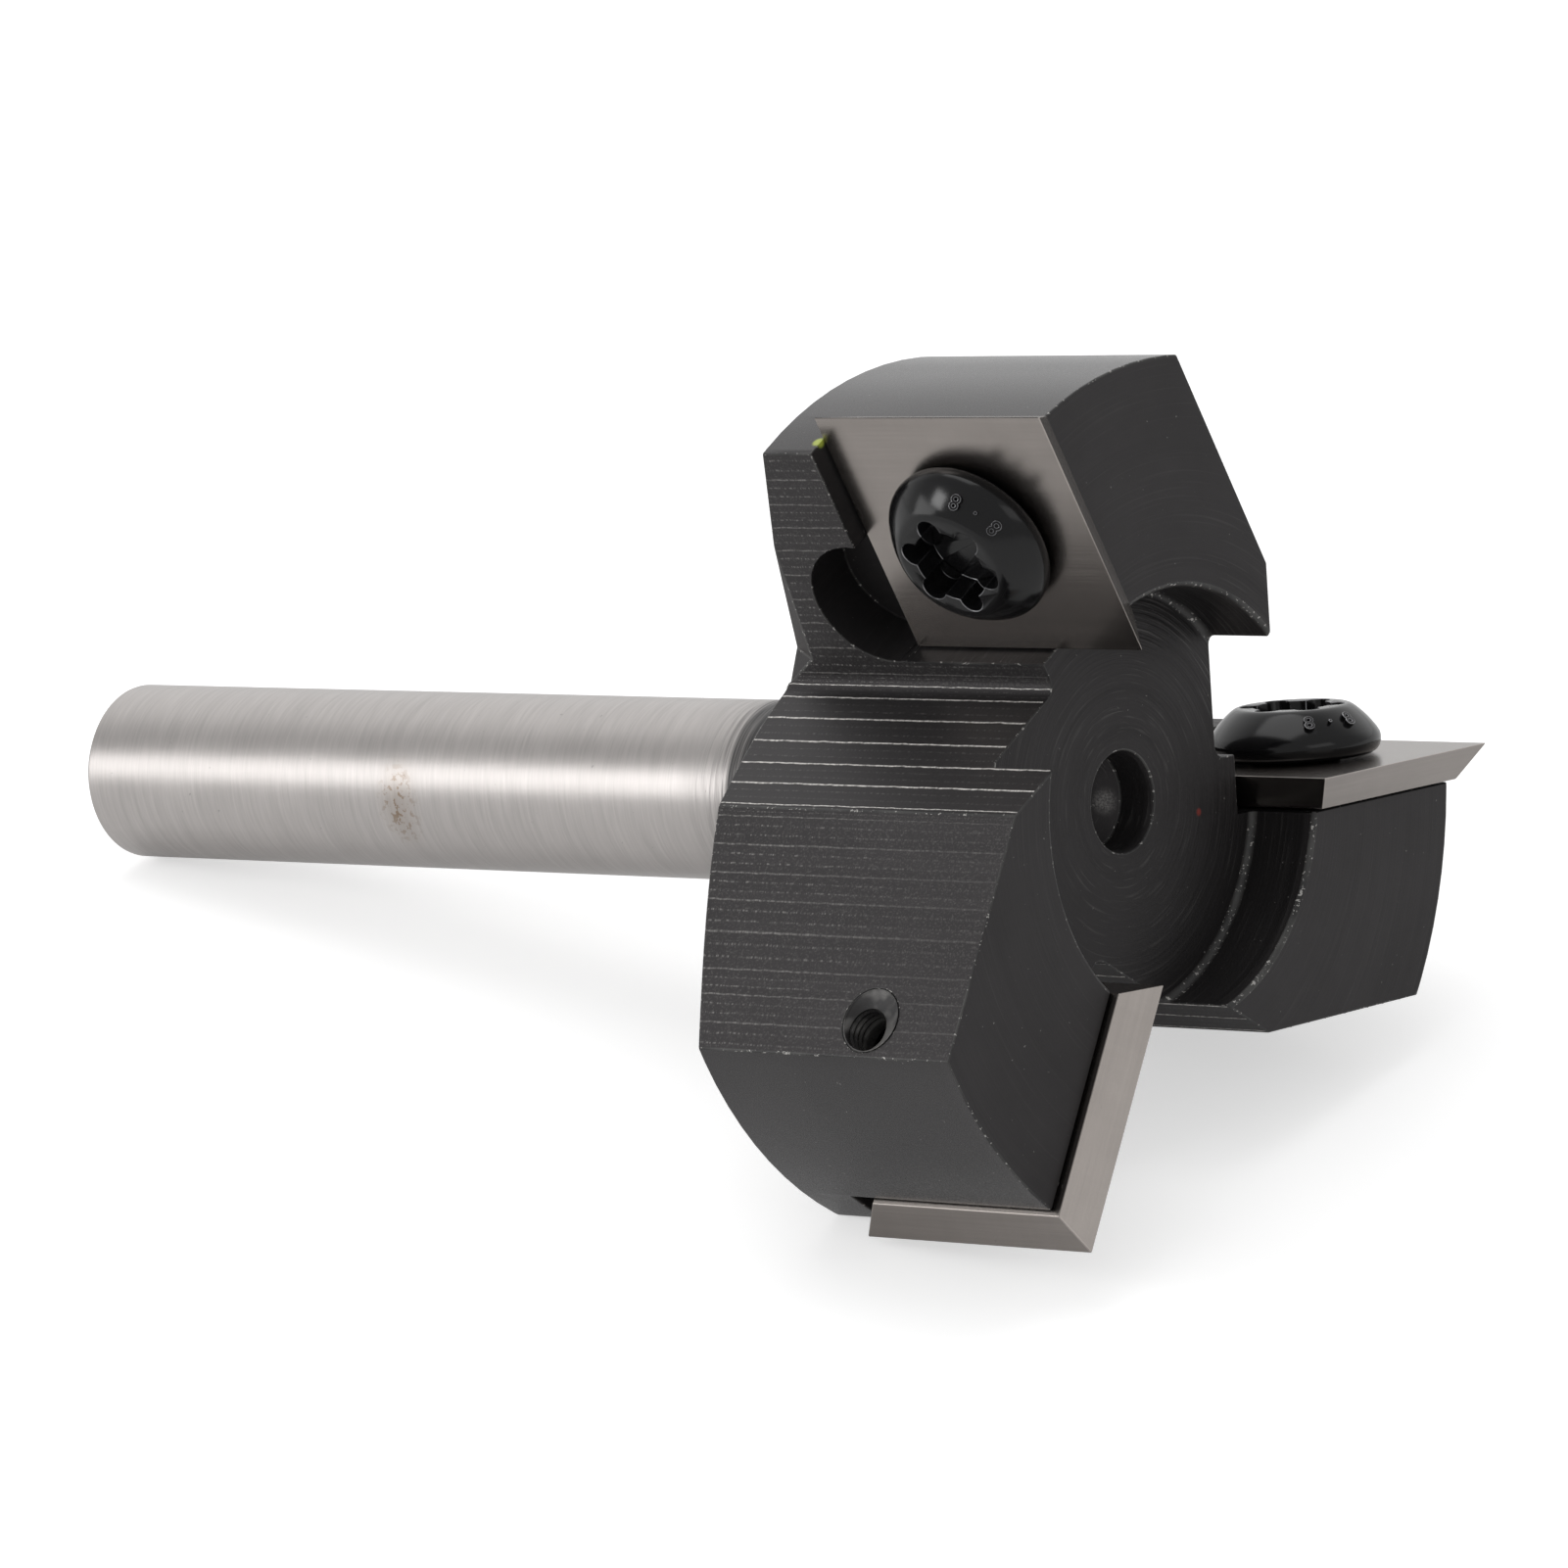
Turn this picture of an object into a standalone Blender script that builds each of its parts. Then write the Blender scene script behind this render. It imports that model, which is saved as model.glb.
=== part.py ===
"""A three-wing surfacing router bit with screwed-on square carbide inserts.

The tool is modelled about its own axis: +Z runs from the shank to the cutting
end, and Z = 0 is the front face of the wings. An empty then lays the finished
tool down on its side, as it comes to rest on a bench.
"""

import math

import bmesh
import bpy
from mathutils import Matrix, Vector
from mathutils.bvhtree import BVHTree

MM = 0.001

# Shank and the back of the body
SHANK_RADIUS = 4.0 * MM
SHANK_END_DEPTH = 61.0 * MM
SHANK_END_CHAMFER = 0.4 * MM
NECK_FILLET = 1.2 * MM
BACK_CONE_ANGLE = math.radians(19.8)

# Winged body
WING_COUNT = 3
FIRST_WING_ANGLE = math.radians(132.9)
BODY_RADIUS = 19.0 * MM
BODY_DEPTH = 13.4 * MM
LEADING_FACE = 1.0 * MM
GULLET_FLOOR = 6.7 * MM
GULLET_FILLET = 0.6 * MM

# The lip's rear edge is broken, more and more towards the hub
LIP_BEVEL_OUTER = 14.3 * MM
LIP_BEVEL_INNER = 8.1 * MM
LIP_BEVEL_LENGTH = 1.42 * MM
LIP_BEVEL_DEPTH = 0.84 * MM

# Recess turned into the front of the hub, with the centre hole in its floor
RECESS_RADIUS = 9.2 * MM
RECESS_DEPTH = 3.35 * MM
RECESS_RIM_CHAMFER = 0.15 * MM
CENTRE_MOUTH_RADIUS = 2.2 * MM
CENTRE_RADIUS = 2.05 * MM
CENTRE_CHAMFER_DEPTH = 0.5 * MM
CENTRE_DEPTH = 1.7 * MM
CENTRE_POINT_ANGLE = math.radians(59.0)

# Cutting inserts: square, with the same clearance on all four sides
INSERT_PROUD = 1.15 * MM
INSERT_SIDE = 12.0 * MM
INSERT_CORNERS = 4
INSERT_THICKNESS = 1.5 * MM
INSERT_CLEARANCE_ANGLE = math.radians(34.0)
INSERT_FRONT = 1.36 * MM
INSERT_HOLE_RADIUS = 2.15 * MM
RAKE_OFFSET = 0.05 * MM

# Seats for the inserts
SEAT_GAP = 0.1 * MM
RELIEF_RADIUS = 3.0 * MM
RELIEF_REACH = 0.45 * MM
RELIEF_SINK = 0.1 * MM

# Insert screws
HEAD_RADIUS = 3.8 * MM
HEAD_FOOT_RADIUS = 3.3 * MM
HEAD_WIDEST = 0.85 * MM
HEAD_HEIGHT = 2.2 * MM
HEAD_FLAT_RADIUS = 2.45 * MM
HEAD_BULGE = 0.12 * MM
SCREW_RADIUS = 1.95 * MM
SCREW_LENGTH = 8.0 * MM
SCREW_POINT_CHAMFER = 0.4 * MM
THREAD_CLEARANCE = 0.1 * MM
THREAD_END_ROOM = 0.5 * MM
EXIT_RADIUS = 1.42 * MM
EXIT_WALL = 0.23 * MM
LOBES = 6
LOBE_OUTER_RADIUS = 2.2 * MM
LOBE_INNER_RADIUS = 1.6 * MM
LOBE_DEPTH = 1.4 * MM
LOBE_TURNS = (math.radians(10.0), math.radians(34.0), math.radians(52.0))

# Sizes that follow from the others. The wing is as thick as leaves a wall beside the
# screw hole where it comes out behind.
CUTTING_RADIUS = BODY_RADIUS + INSERT_PROUD
INSERT_MIDDLE = CUTTING_RADIUS - INSERT_SIDE / 2
TRAILING_CORNER = INSERT_MIDDLE + EXIT_RADIUS + EXIT_WALL
TRAILING_FACE = math.sqrt(BODY_RADIUS**2 - TRAILING_CORNER**2)

# Smoothness of the round shapes
BODY_STEPS = 96
SCREW_STEPS = 40
HOLE_STEPS = 32
ARC_STEPS = 6
LOBE_STEPS = 8
SHARP_ANGLE = math.radians(28.0)
OVERCUT = 2.0 * MM
WELD_DISTANCE = 0.001 * MM
AXIS_MERGE = 0.01 * MM

# Materials: colour, metallic and roughness
BLACK_OXIDE = ((0.045, 0.043, 0.043, 1.0), 0.6, 0.55)
CARBIDE = ((0.26, 0.24, 0.225, 1.0), 0.9, 0.38)
BLACK_SCREW = ((0.015, 0.015, 0.016, 1.0), 0.4, 0.22)

# Weights per cubic metre, for the balance point
STEEL_DENSITY = 7850.0
CARBIDE_DENSITY = 14600.0

# Rough way down, in the tool's frame, that picks the side it comes to rest on
ROUGH_DOWN = math.radians(298.0)
SETTLED_ANGLE = math.radians(0.01)


def clear_scene():
    for existing in list(bpy.data.objects):
        bpy.data.objects.remove(existing)


def new_collection(name, hidden=False):
    collection = bpy.data.collections.new(name)
    collection.hide_render = hidden
    bpy.context.scene.collection.children.link(collection)
    return collection


def new_material(name, look):
    colour, metallic, roughness = look
    material = bpy.data.materials.new(name)
    material.use_nodes = True
    shader = material.node_tree.nodes["Principled BSDF"]
    shader.inputs["Base Color"].default_value = colour
    shader.inputs["Metallic"].default_value = metallic
    shader.inputs["Roughness"].default_value = roughness
    material.diffuse_color = colour
    return material


def new_object(name, mesh, collection, placing=None):
    piece = bpy.data.objects.new(name, mesh)
    collection.objects.link(piece)
    if placing is not None:
        piece.matrix_world = placing
    return piece


def mesh_from(form, name):
    mesh = bpy.data.meshes.new(name)
    form.to_mesh(mesh)
    form.free()
    return mesh


def arc_points(centre, radii, start, end, steps=ARC_STEPS):
    """Points of an ellipse's arc, angles in degrees, both ends included."""
    points = []
    for step in range(steps + 1):
        angle = math.radians(start + (end - start) * step / steps)
        points.append((centre[0] + radii[0] * math.cos(angle), centre[1] + radii[1] * math.sin(angle)))
    return points


def bowed(start, end, bulge):
    """Points from start to end, both included, along a line that swells outward in the middle."""
    start = Vector(start)
    along = Vector(end) - start
    outward = Vector((-along.y, along.x)).normalized()
    points = []
    for step in range(ARC_STEPS + 1):
        share = step / ARC_STEPS
        points.append(start + along * share + outward * bulge * 4 * share * (1 - share))
    return points


def turned(name, profile, steps, collection, placing=None):
    """A profile of (radius, height) points, top to bottom, turned about the axis."""
    form = bmesh.new()
    corners = [form.verts.new((radius, 0.0, height)) for radius, height in profile]
    for above, below in zip(corners, corners[1:]):
        form.edges.new((above, below))
    piece = new_object(name, mesh_from(form, name), collection, placing)
    turning = piece.modifiers.new("Turning", "SCREW")
    turning.axis = "Z"
    turning.steps = steps
    turning.render_steps = steps
    turning.use_merge_vertices = True
    turning.merge_threshold = AXIS_MERGE
    return piece


def extruded(name, outline, length, collection, placing):
    """A closed outline filled, extruded half its length each way and made a mesh."""
    curve = bpy.data.curves.new(name, "CURVE")
    curve.dimensions = "2D"
    curve.fill_mode = "BOTH"
    curve.extrude = length / 2
    spline = curve.splines.new("POLY")
    spline.points.add(len(outline) - 1)
    for point, (x, y) in zip(spline.points, outline):
        point.co = (x, y, 0.0, 1.0)
    spline.use_cyclic_u = True
    guide = bpy.data.objects.new(name + "_outline", curve)
    collection.objects.link(guide)
    guide.matrix_world = placing
    graph = bpy.context.evaluated_depsgraph_get()
    mesh = bpy.data.meshes.new_from_object(guide.evaluated_get(graph))
    form = bmesh.new()
    form.from_mesh(mesh)
    bmesh.ops.remove_doubles(form, verts=form.verts, dist=WELD_DISTANCE)
    bmesh.ops.recalc_face_normals(form, faces=form.faces)
    form.to_mesh(mesh)
    form.free()
    piece = new_object(name, mesh, collection, guide.matrix_world.copy())
    bpy.data.objects.remove(guide)
    return piece


def box(name, low, high, collection, placing):
    form = bmesh.new()
    bmesh.ops.create_cube(form, size=1.0)
    size = [top - bottom for bottom, top in zip(low, high)]
    middle = [(top + bottom) / 2 for bottom, top in zip(low, high)]
    bmesh.ops.scale(form, vec=size, verts=form.verts)
    bmesh.ops.translate(form, vec=middle, verts=form.verts)
    return new_object(name, mesh_from(form, name), collection, placing)


def cylinder(name, radius, bottom, top, collection, placing):
    form = bmesh.new()
    bmesh.ops.create_cone(
        form,
        cap_ends=True,
        segments=HOLE_STEPS,
        radius1=radius,
        radius2=radius,
        depth=top - bottom,
        matrix=Matrix.Translation((0.0, 0.0, (top + bottom) / 2)),
    )
    return new_object(name, mesh_from(form, name), collection, placing)


def cut(piece, cutter):
    cutter.display_type = "WIRE"
    cutter.hide_render = True
    removal = piece.modifiers.new(cutter.name, "BOOLEAN")
    removal.operation = "DIFFERENCE"
    removal.solver = "EXACT"
    removal.object = cutter


def smooth(piece):
    for modifier in piece.modifiers:
        if modifier.type == "SCREW":
            modifier.use_smooth_shade = True
    piece.data.shade_smooth()
    piece.data.set_sharp_from_angle(angle=SHARP_ANGLE)


def wing_angle(index):
    return FIRST_WING_ANGLE + index * math.tau / WING_COUNT


def wing_frame(index):
    """X out along the wing, Y in the way its cutting edge faces, Z along the tool."""
    return Matrix.Rotation(wing_angle(index), 4, "Z")


def seat_frame(index):
    """X out along the wing, Z out of the insert's rake face, from the middle of that face."""
    middle = Vector((INSERT_MIDDLE, RAKE_OFFSET, INSERT_FRONT - INSERT_SIDE / 2))
    return wing_frame(index) @ Matrix.Translation(middle) @ Matrix.Rotation(-math.pi / 2, 4, "X")


def back_height(radius):
    """Where the back cone stands at this radius."""
    return -BODY_DEPTH - (BODY_RADIUS - radius) * math.tan(BACK_CONE_ANGLE)


def centre_hole_profile():
    floor = -RECESS_DEPTH
    point_depth = CENTRE_RADIUS / math.tan(CENTRE_POINT_ANGLE)
    return [
        (0.0, floor - CENTRE_DEPTH - point_depth),
        (CENTRE_RADIUS, floor - CENTRE_DEPTH),
        (CENTRE_RADIUS, floor - CENTRE_CHAMFER_DEPTH),
        (CENTRE_MOUTH_RADIUS, floor),
    ]


def neck_profile():
    """The back cone's lower end and the fillet that runs from it into the shank."""
    turn = math.pi / 2 - BACK_CONE_ANGLE
    middle_radius = SHANK_RADIUS + NECK_FILLET
    start_radius = middle_radius - NECK_FILLET * math.sin(BACK_CONE_ANGLE)
    middle_height = back_height(start_radius) - NECK_FILLET * math.cos(BACK_CONE_ANGLE)
    first = 180.0 - math.degrees(turn)
    return arc_points((middle_radius, middle_height), (NECK_FILLET, NECK_FILLET), first, 180.0)


def body_profile():
    recess = [
        (RECESS_RADIUS, -RECESS_DEPTH),
        (RECESS_RADIUS, -RECESS_RIM_CHAMFER),
        (RECESS_RADIUS + RECESS_RIM_CHAMFER, 0.0),
    ]
    outside = [(BODY_RADIUS, 0.0), (BODY_RADIUS, -BODY_DEPTH)]
    shank = [
        (SHANK_RADIUS, -SHANK_END_DEPTH + SHANK_END_CHAMFER),
        (SHANK_RADIUS - SHANK_END_CHAMFER, -SHANK_END_DEPTH),
        (0.0, -SHANK_END_DEPTH),
    ]
    return centre_hole_profile() + recess + outside + neck_profile() + shank


def gullet_outline():
    """The space in front of one wing, up to the back of the next, in the wing's frame."""
    reach = BODY_RADIUS + OVERCUT
    step = math.tau / WING_COUNT
    next_out = Vector((math.cos(step), math.sin(step)))
    next_behind = Vector((math.sin(step), -math.cos(step))) * TRAILING_FACE
    along = (GULLET_FLOOR - next_behind.x) / next_out.x
    corner = next_out * along + next_behind
    far = next_out * 2 * reach + next_behind
    middle = (GULLET_FLOOR + GULLET_FILLET, LEADING_FACE + GULLET_FILLET)
    fillet = arc_points(middle, (GULLET_FILLET, GULLET_FILLET), 270.0, 180.0)
    return [(2 * reach, LEADING_FACE)] + fillet + [tuple(corner), tuple(far), (2 * reach, far.y)]


def cut_gullet(body, index, cutters):
    length = BODY_DEPTH + BODY_RADIUS + 2 * OVERCUT
    placing = wing_frame(index) @ Matrix.Translation((0.0, 0.0, 2 * OVERCUT - length / 2))
    cut(body, extruded(f"gullet_{index + 1}", gullet_outline(), length, cutters, placing))


def cut_lip_bevel(body, index, cutters):
    """A wedge whose inner face runs from the lip's leading face to the back cone."""
    outer = Vector((LIP_BEVEL_OUTER, LEADING_FACE, back_height(LIP_BEVEL_OUTER)))
    behind = back_height(LIP_BEVEL_INNER)
    rear = Vector((LIP_BEVEL_INNER, LEADING_FACE - LIP_BEVEL_DEPTH, behind))
    front = Vector((LIP_BEVEL_INNER, LEADING_FACE, behind + LIP_BEVEL_LENGTH))
    root = Vector((GULLET_FLOOR, LEADING_FACE, back_height(GULLET_FLOOR)))
    clear = Vector((0.0, OVERCUT, -OVERCUT))
    form = bmesh.new()
    for corner in (outer, rear, front, root):
        form.verts.new(corner)
        form.verts.new(corner + clear)
    bmesh.ops.convex_hull(form, input=form.verts)
    name = f"lip_bevel_{index + 1}"
    cut(body, new_object(name, mesh_from(form, name), cutters, wing_frame(index)))


def cut_pocket(body, index, cutters):
    """The seat, the walls that the insert is pushed against, and the round relief in their corner."""
    frame = seat_frame(index)
    half = INSERT_SIDE / 2
    seat = -INSERT_THICKNESS - SEAT_GAP
    above = LEADING_FACE + OVERCUT
    wall = half + SEAT_GAP
    outer = BODY_RADIUS - CUTTING_RADIUS + half + 2 * OVERCUT
    low = (-wall, -half - OVERCUT, seat)
    high = (outer, wall, above)
    cut(body, box(f"pocket_{index + 1}", low, high, cutters, frame))
    corner = Matrix.Translation((-wall + RELIEF_RADIUS, wall + RELIEF_REACH, 0.0))
    relief = cylinder(
        f"relief_{index + 1}", RELIEF_RADIUS, seat - RELIEF_SINK, above, cutters, frame @ corner
    )
    cut(body, relief)


def cut_screw_hole(body, index, cutters):
    """Full size where the screw's thread holds, and smaller where it comes out behind."""
    frame = seat_frame(index)
    behind = -TRAILING_FACE - RAKE_OFFSET
    hold = -SCREW_LENGTH - THREAD_END_ROOM
    thread = cylinder(
        f"thread_{index + 1}", SCREW_RADIUS + THREAD_CLEARANCE, hold, 0.0, cutters, frame
    )
    cut(body, thread)
    cut(body, cylinder(f"exit_{index + 1}", EXIT_RADIUS, behind - OVERCUT, 0.0, cutters, frame))


def make_body(parts, cutters, material):
    body = turned("cutter_body", body_profile(), BODY_STEPS, parts)
    for index in range(WING_COUNT):
        cut_gullet(body, index, cutters)
        cut_lip_bevel(body, index, cutters)
        cut_pocket(body, index, cutters)
        cut_screw_hole(body, index, cutters)
    body.data.materials.append(material)
    smooth(body)
    return body


def make_insert(index, parts, cutters, material):
    """A square plate whose sides lean in from the rake face to the seat."""
    inset = INSERT_THICKNESS * math.tan(INSERT_CLEARANCE_ANGLE)
    diagonal = math.sqrt(2.0) / 2
    quarter = Matrix.Rotation(math.pi / INSERT_CORNERS, 4, "Z")
    form = bmesh.new()
    bmesh.ops.create_cone(
        form,
        cap_ends=True,
        segments=INSERT_CORNERS,
        radius1=(INSERT_SIDE - 2 * inset) * diagonal,
        radius2=INSERT_SIDE * diagonal,
        depth=INSERT_THICKNESS,
        matrix=Matrix.Translation((0.0, 0.0, -INSERT_THICKNESS / 2)) @ quarter,
    )
    name = f"insert_{index + 1}"
    insert = new_object(name, mesh_from(form, name), parts, seat_frame(index))
    insert.data.materials.append(material)
    hole = cylinder(
        f"insert_hole_{index + 1}",
        INSERT_HOLE_RADIUS,
        -INSERT_THICKNESS - OVERCUT,
        OVERCUT,
        cutters,
        seat_frame(index),
    )
    cut(insert, hole)
    return insert


def lobe_outline():
    """The six-lobe drive as a wave between its inner and outer radius."""
    middle = (LOBE_OUTER_RADIUS + LOBE_INNER_RADIUS) / 2
    swing = (LOBE_OUTER_RADIUS - LOBE_INNER_RADIUS) / 2
    points = []
    count = LOBES * LOBE_STEPS
    for step in range(count):
        angle = math.tau * step / count
        radius = middle + swing * math.cos(LOBES * angle)
        points.append((radius * math.cos(angle), radius * math.sin(angle)))
    return points


def screw_profile():
    """Button head, then a plain shank that stands for the threaded one."""
    dome = bowed((HEAD_FLAT_RADIUS, HEAD_HEIGHT), (HEAD_RADIUS, HEAD_WIDEST), HEAD_BULGE)
    foot = arc_points(
        (HEAD_FOOT_RADIUS, HEAD_WIDEST),
        (HEAD_RADIUS - HEAD_FOOT_RADIUS, HEAD_WIDEST),
        0.0,
        -90.0,
    )
    shank = [
        (SCREW_RADIUS, 0.0),
        (SCREW_RADIUS, -SCREW_LENGTH + SCREW_POINT_CHAMFER),
        (SCREW_RADIUS - SCREW_POINT_CHAMFER, -SCREW_LENGTH),
        (0.0, -SCREW_LENGTH),
    ]
    return [(0.0, HEAD_HEIGHT)] + dome + foot[1:] + shank


def make_screw(index, parts, cutters, material):
    turn = Matrix.Rotation(LOBE_TURNS[index % len(LOBE_TURNS)], 4, "Z")
    placing = seat_frame(index) @ Matrix.Translation((0.0, 0.0, SEAT_GAP)) @ turn
    screw = turned(f"insert_screw_{index + 1}", screw_profile(), SCREW_STEPS, parts, placing)
    screw.data.materials.append(material)
    length = LOBE_DEPTH + OVERCUT
    middle = HEAD_HEIGHT - LOBE_DEPTH + length / 2
    drive = extruded(
        f"drive_{index + 1}",
        lobe_outline(),
        length,
        cutters,
        placing @ Matrix.Translation((0.0, 0.0, middle)),
    )
    cut(screw, drive)
    smooth(screw)
    return screw


def finished_forms(pieces):
    """Each piece's finished shape as triangles, in the tool's frame."""
    graph = bpy.context.evaluated_depsgraph_get()
    forms = []
    for piece in pieces:
        form = bmesh.new()
        form.from_mesh(piece.evaluated_get(graph).data)
        form.transform(piece.matrix_world)
        bmesh.ops.triangulate(form, faces=form.faces)
        forms.append(form)
    return forms


def balance_point(forms, densities):
    """The centre of mass, summed over the pyramids from the origin to each triangle."""
    total = 0.0
    moment = Vector()
    for form, density in zip(forms, densities):
        for face in form.faces:
            a, b, c = (vertex.co for vertex in face.verts)
            mass = density * a.dot(b.cross(c)) / 6
            total += mass
            moment += mass * (a + b + c) / 4
    return moment / total


def hull_of(forms):
    """The convex hull of the whole tool."""
    hull = bmesh.new()
    for form in forms:
        for vertex in form.verts:
            hull.verts.new(vertex.co)
    bmesh.ops.convex_hull(hull, input=hull.verts)
    return hull


def resting_turn(hull, balance):
    """Rolls from face to face of the hull until the face below the balance point is the lowest."""
    tree = BVHTree.FromBMesh(hull)
    down = Vector((math.cos(ROUGH_DOWN), math.sin(ROUGH_DOWN), 0.0))
    for _ in hull.faces:
        normal = tree.ray_cast(balance, down)[1]
        normal = normal if normal.dot(down) > 0.0 else -normal
        settled = normal.dot(down) > math.cos(SETTLED_ANGLE)
        down = normal
        if settled:
            break
    ahead = Vector((0.0, 0.0, 1.0))
    ahead = (ahead - down * ahead.dot(down)).normalized()
    return Matrix((ahead, ahead.cross(down), -down)).to_4x4()


def lay_down(pieces, densities, cutters, collection):
    """Parents everything to one empty, and puts the origin under the middle of the resting tool."""
    forms = finished_forms(pieces)
    hull = hull_of(forms)
    turn = resting_turn(hull, balance_point(forms, densities))
    corners = [turn @ vertex.co for vertex in hull.verts]
    for form in forms + [hull]:
        form.free()
    low = [min(corner[axis] for corner in corners) for axis in range(3)]
    high = [max(corner[axis] for corner in corners) for axis in range(3)]
    shift = Vector((-(low[0] + high[0]) / 2, -(low[1] + high[1]) / 2, -low[2]))
    rest = bpy.data.objects.new("resting_pose", None)
    collection.objects.link(rest)
    for piece in pieces + cutters:
        piece.parent = rest
    rest.matrix_world = Matrix.Translation(shift) @ turn


def main():
    clear_scene()
    parts = new_collection("surfacing_router_bit")
    cutters = new_collection("cutters", hidden=True)
    oxide = new_material("black_oxide", BLACK_OXIDE)
    carbide = new_material("ground_carbide", CARBIDE)
    black = new_material("black_screw", BLACK_SCREW)
    pieces = [make_body(parts, cutters, oxide)]
    densities = [STEEL_DENSITY]
    for index in range(WING_COUNT):
        pieces.append(make_insert(index, parts, cutters, carbide))
        pieces.append(make_screw(index, parts, cutters, black))
        densities += [CARBIDE_DENSITY, STEEL_DENSITY]
    bpy.context.view_layer.update()
    lay_down(pieces, densities, list(cutters.objects), parts)


main()
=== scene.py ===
"""Looks for a three-wing surfacing router bit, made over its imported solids.

The tool's own frame has +Z running from the shank to the cutting end, with Z = 0 on
the front faces of the wings. The lying pose carries that frame into the scene, where
everything is in metres and +Z is up.
"""

import math

import bpy
from bpy.props import FloatProperty, FloatVectorProperty, PointerProperty, StringProperty
from mathutils import Matrix, Vector


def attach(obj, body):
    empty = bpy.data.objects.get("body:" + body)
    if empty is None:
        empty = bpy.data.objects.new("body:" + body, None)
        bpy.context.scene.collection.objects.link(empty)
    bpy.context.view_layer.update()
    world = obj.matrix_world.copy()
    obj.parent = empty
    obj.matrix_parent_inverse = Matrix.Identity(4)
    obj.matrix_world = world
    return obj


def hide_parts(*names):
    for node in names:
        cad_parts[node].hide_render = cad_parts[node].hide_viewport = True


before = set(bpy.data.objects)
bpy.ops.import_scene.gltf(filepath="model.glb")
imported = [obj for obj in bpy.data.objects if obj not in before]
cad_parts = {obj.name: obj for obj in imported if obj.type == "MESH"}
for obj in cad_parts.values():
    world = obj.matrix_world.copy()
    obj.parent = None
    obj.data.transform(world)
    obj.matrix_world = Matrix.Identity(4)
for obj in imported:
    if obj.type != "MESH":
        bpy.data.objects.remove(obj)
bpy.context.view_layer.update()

bl_info = {
    "name": "Surfacing Router Bit",
    "version": (1, 0, 0),
    "blender": (4, 5, 0),
    "location": "3D View > Sidebar > Router Bit",
    "description": "Dresses the solids of a three-wing surfacing router bit",
    "category": "Object",
}

MM = 0.001

# How the tool lies: its axis rises by the tilt, and it is rolled about that axis
LIE_TILT = math.radians(12.194299)
LIE_ROLL = math.radians(-27.533852)
LIE_PLACE = Vector((28.00918, -0.45366, 16.70916)) * MM

# The way to the white backdrop, behind the tool as the camera sees it, and how squarely
# a reflection looks that way where the backdrop starts and where it is full
BACKDROP_WAY = (-0.621, 0.784, 0.0)
BACKDROP_EDGES = (0.2, 0.75)

# Sizes of the body that its finish follows
WINGS = 3
FIRST_WING = math.radians(132.9)
BODY_RADIUS = 19.0 * MM
LEADING_FACE = 1.0 * MM
GULLET_FLOOR = 6.7 * MM
GULLET_FILLET = 0.6 * MM
TRAILING_FACE = 10.552 * MM
RECESS_RADIUS = 9.2 * MM
RECESS_DEPTH = 3.35 * MM
RECESS_ROUNDING = 0.3 * MM
RIM_CHAMFER = 0.15 * MM
NECK_RADIUS = 5.3 * MM
NECK_DEPTH = 19.5 * MM
PLANE_SLACK = 0.06 * MM

# Crests left between the milling passes, measured along the gullet from its inner
# corner: first out along the lip, then across the floor and up the next wing's back
CREST_PLACES = (
    -12.4, -10.9, -9.6, -8.4, -7.2, -5.9, -4.6, -3.35, -2.03, -0.66, 0.0, 0.83, 2.32, 3.93,
    5.45, 6.84, 8.3, 8.9, 10.2, 11.49, 12.71, 14.14, 15.83, 16.95, 18.2, 19.6, 21.0, 22.4,
)
CREST_SPAN = 36.0
CREST_START = -12.6
CREST_ROOM = 0.4
FLOOR_ENDS = (0.0, 8.5)
FLOOR_FADE = 0.004
CUT_SLACK = 0.0001 * MM
MILLING_HEIGHT = 20.0 * MM

# Spots on the tool: deeper scored rings, the painted highlight of a glint at the bottom of the
# centre hole, a red and a yellow speck, and the stain on the shank, which is measured after its stretch
SCORED_SPOT = (2.2 * MM, 7.8 * MM, -3.35 * MM)
PAINTED_GLINT_SPOT = (1.4 * MM, 0.1 * MM, -5.4 * MM)
RED_SPECK = (5.38 * MM, 0.06 * MM, -3.35 * MM)
YELLOW_SPECK = (-13.05 * MM, 13.78 * MM, -10.86 * MM)
STAIN_SPOT = (-3.7 * MM, -1.5 * MM, -74.5 * MM)
STAIN_STRETCH = (1.0, 1.0, 1.8)

# Where finishes change on the tool: towards the outside of the wings, down into the
# recess, where the colour is painted darker as shade, up from the back cone, from the
# black to the bare shank with its ragged line, and towards the swirls at the neck
RIM_RADII = (BODY_RADIUS - 0.12 * MM, BODY_RADIUS - 0.06 * MM)
RECESS_LEVELS = (-0.3 * MM, -0.6 * MM)
BACK_LEVELS = (-9.0 * MM, -8.0 * MM)
BARED_LEVELS = (-19.7 * MM, -20.7 * MM)
RAGGED = 3.4 * MM
SWIRL_LEVELS = (-25.0 * MM, -21.5 * MM)

OXIDE_TINT = (1.0, 0.945, 0.965, 1.0)
RUBBED_GLINT_GREY = (0.33, 0.33, 0.34, 1.0)
NICK = (0.8, 0.78, 0.75, 1.0)
RED = (0.2, 0.02, 0.012, 1.0)
YELLOW = (0.42, 0.5, 0.06, 1.0)
BROWN = (0.2, 0.12, 0.05, 1.0)
BLACK = (0.0, 0.0, 0.0, 1.0)
WHITE = (1.0, 1.0, 1.0, 1.0)

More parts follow.
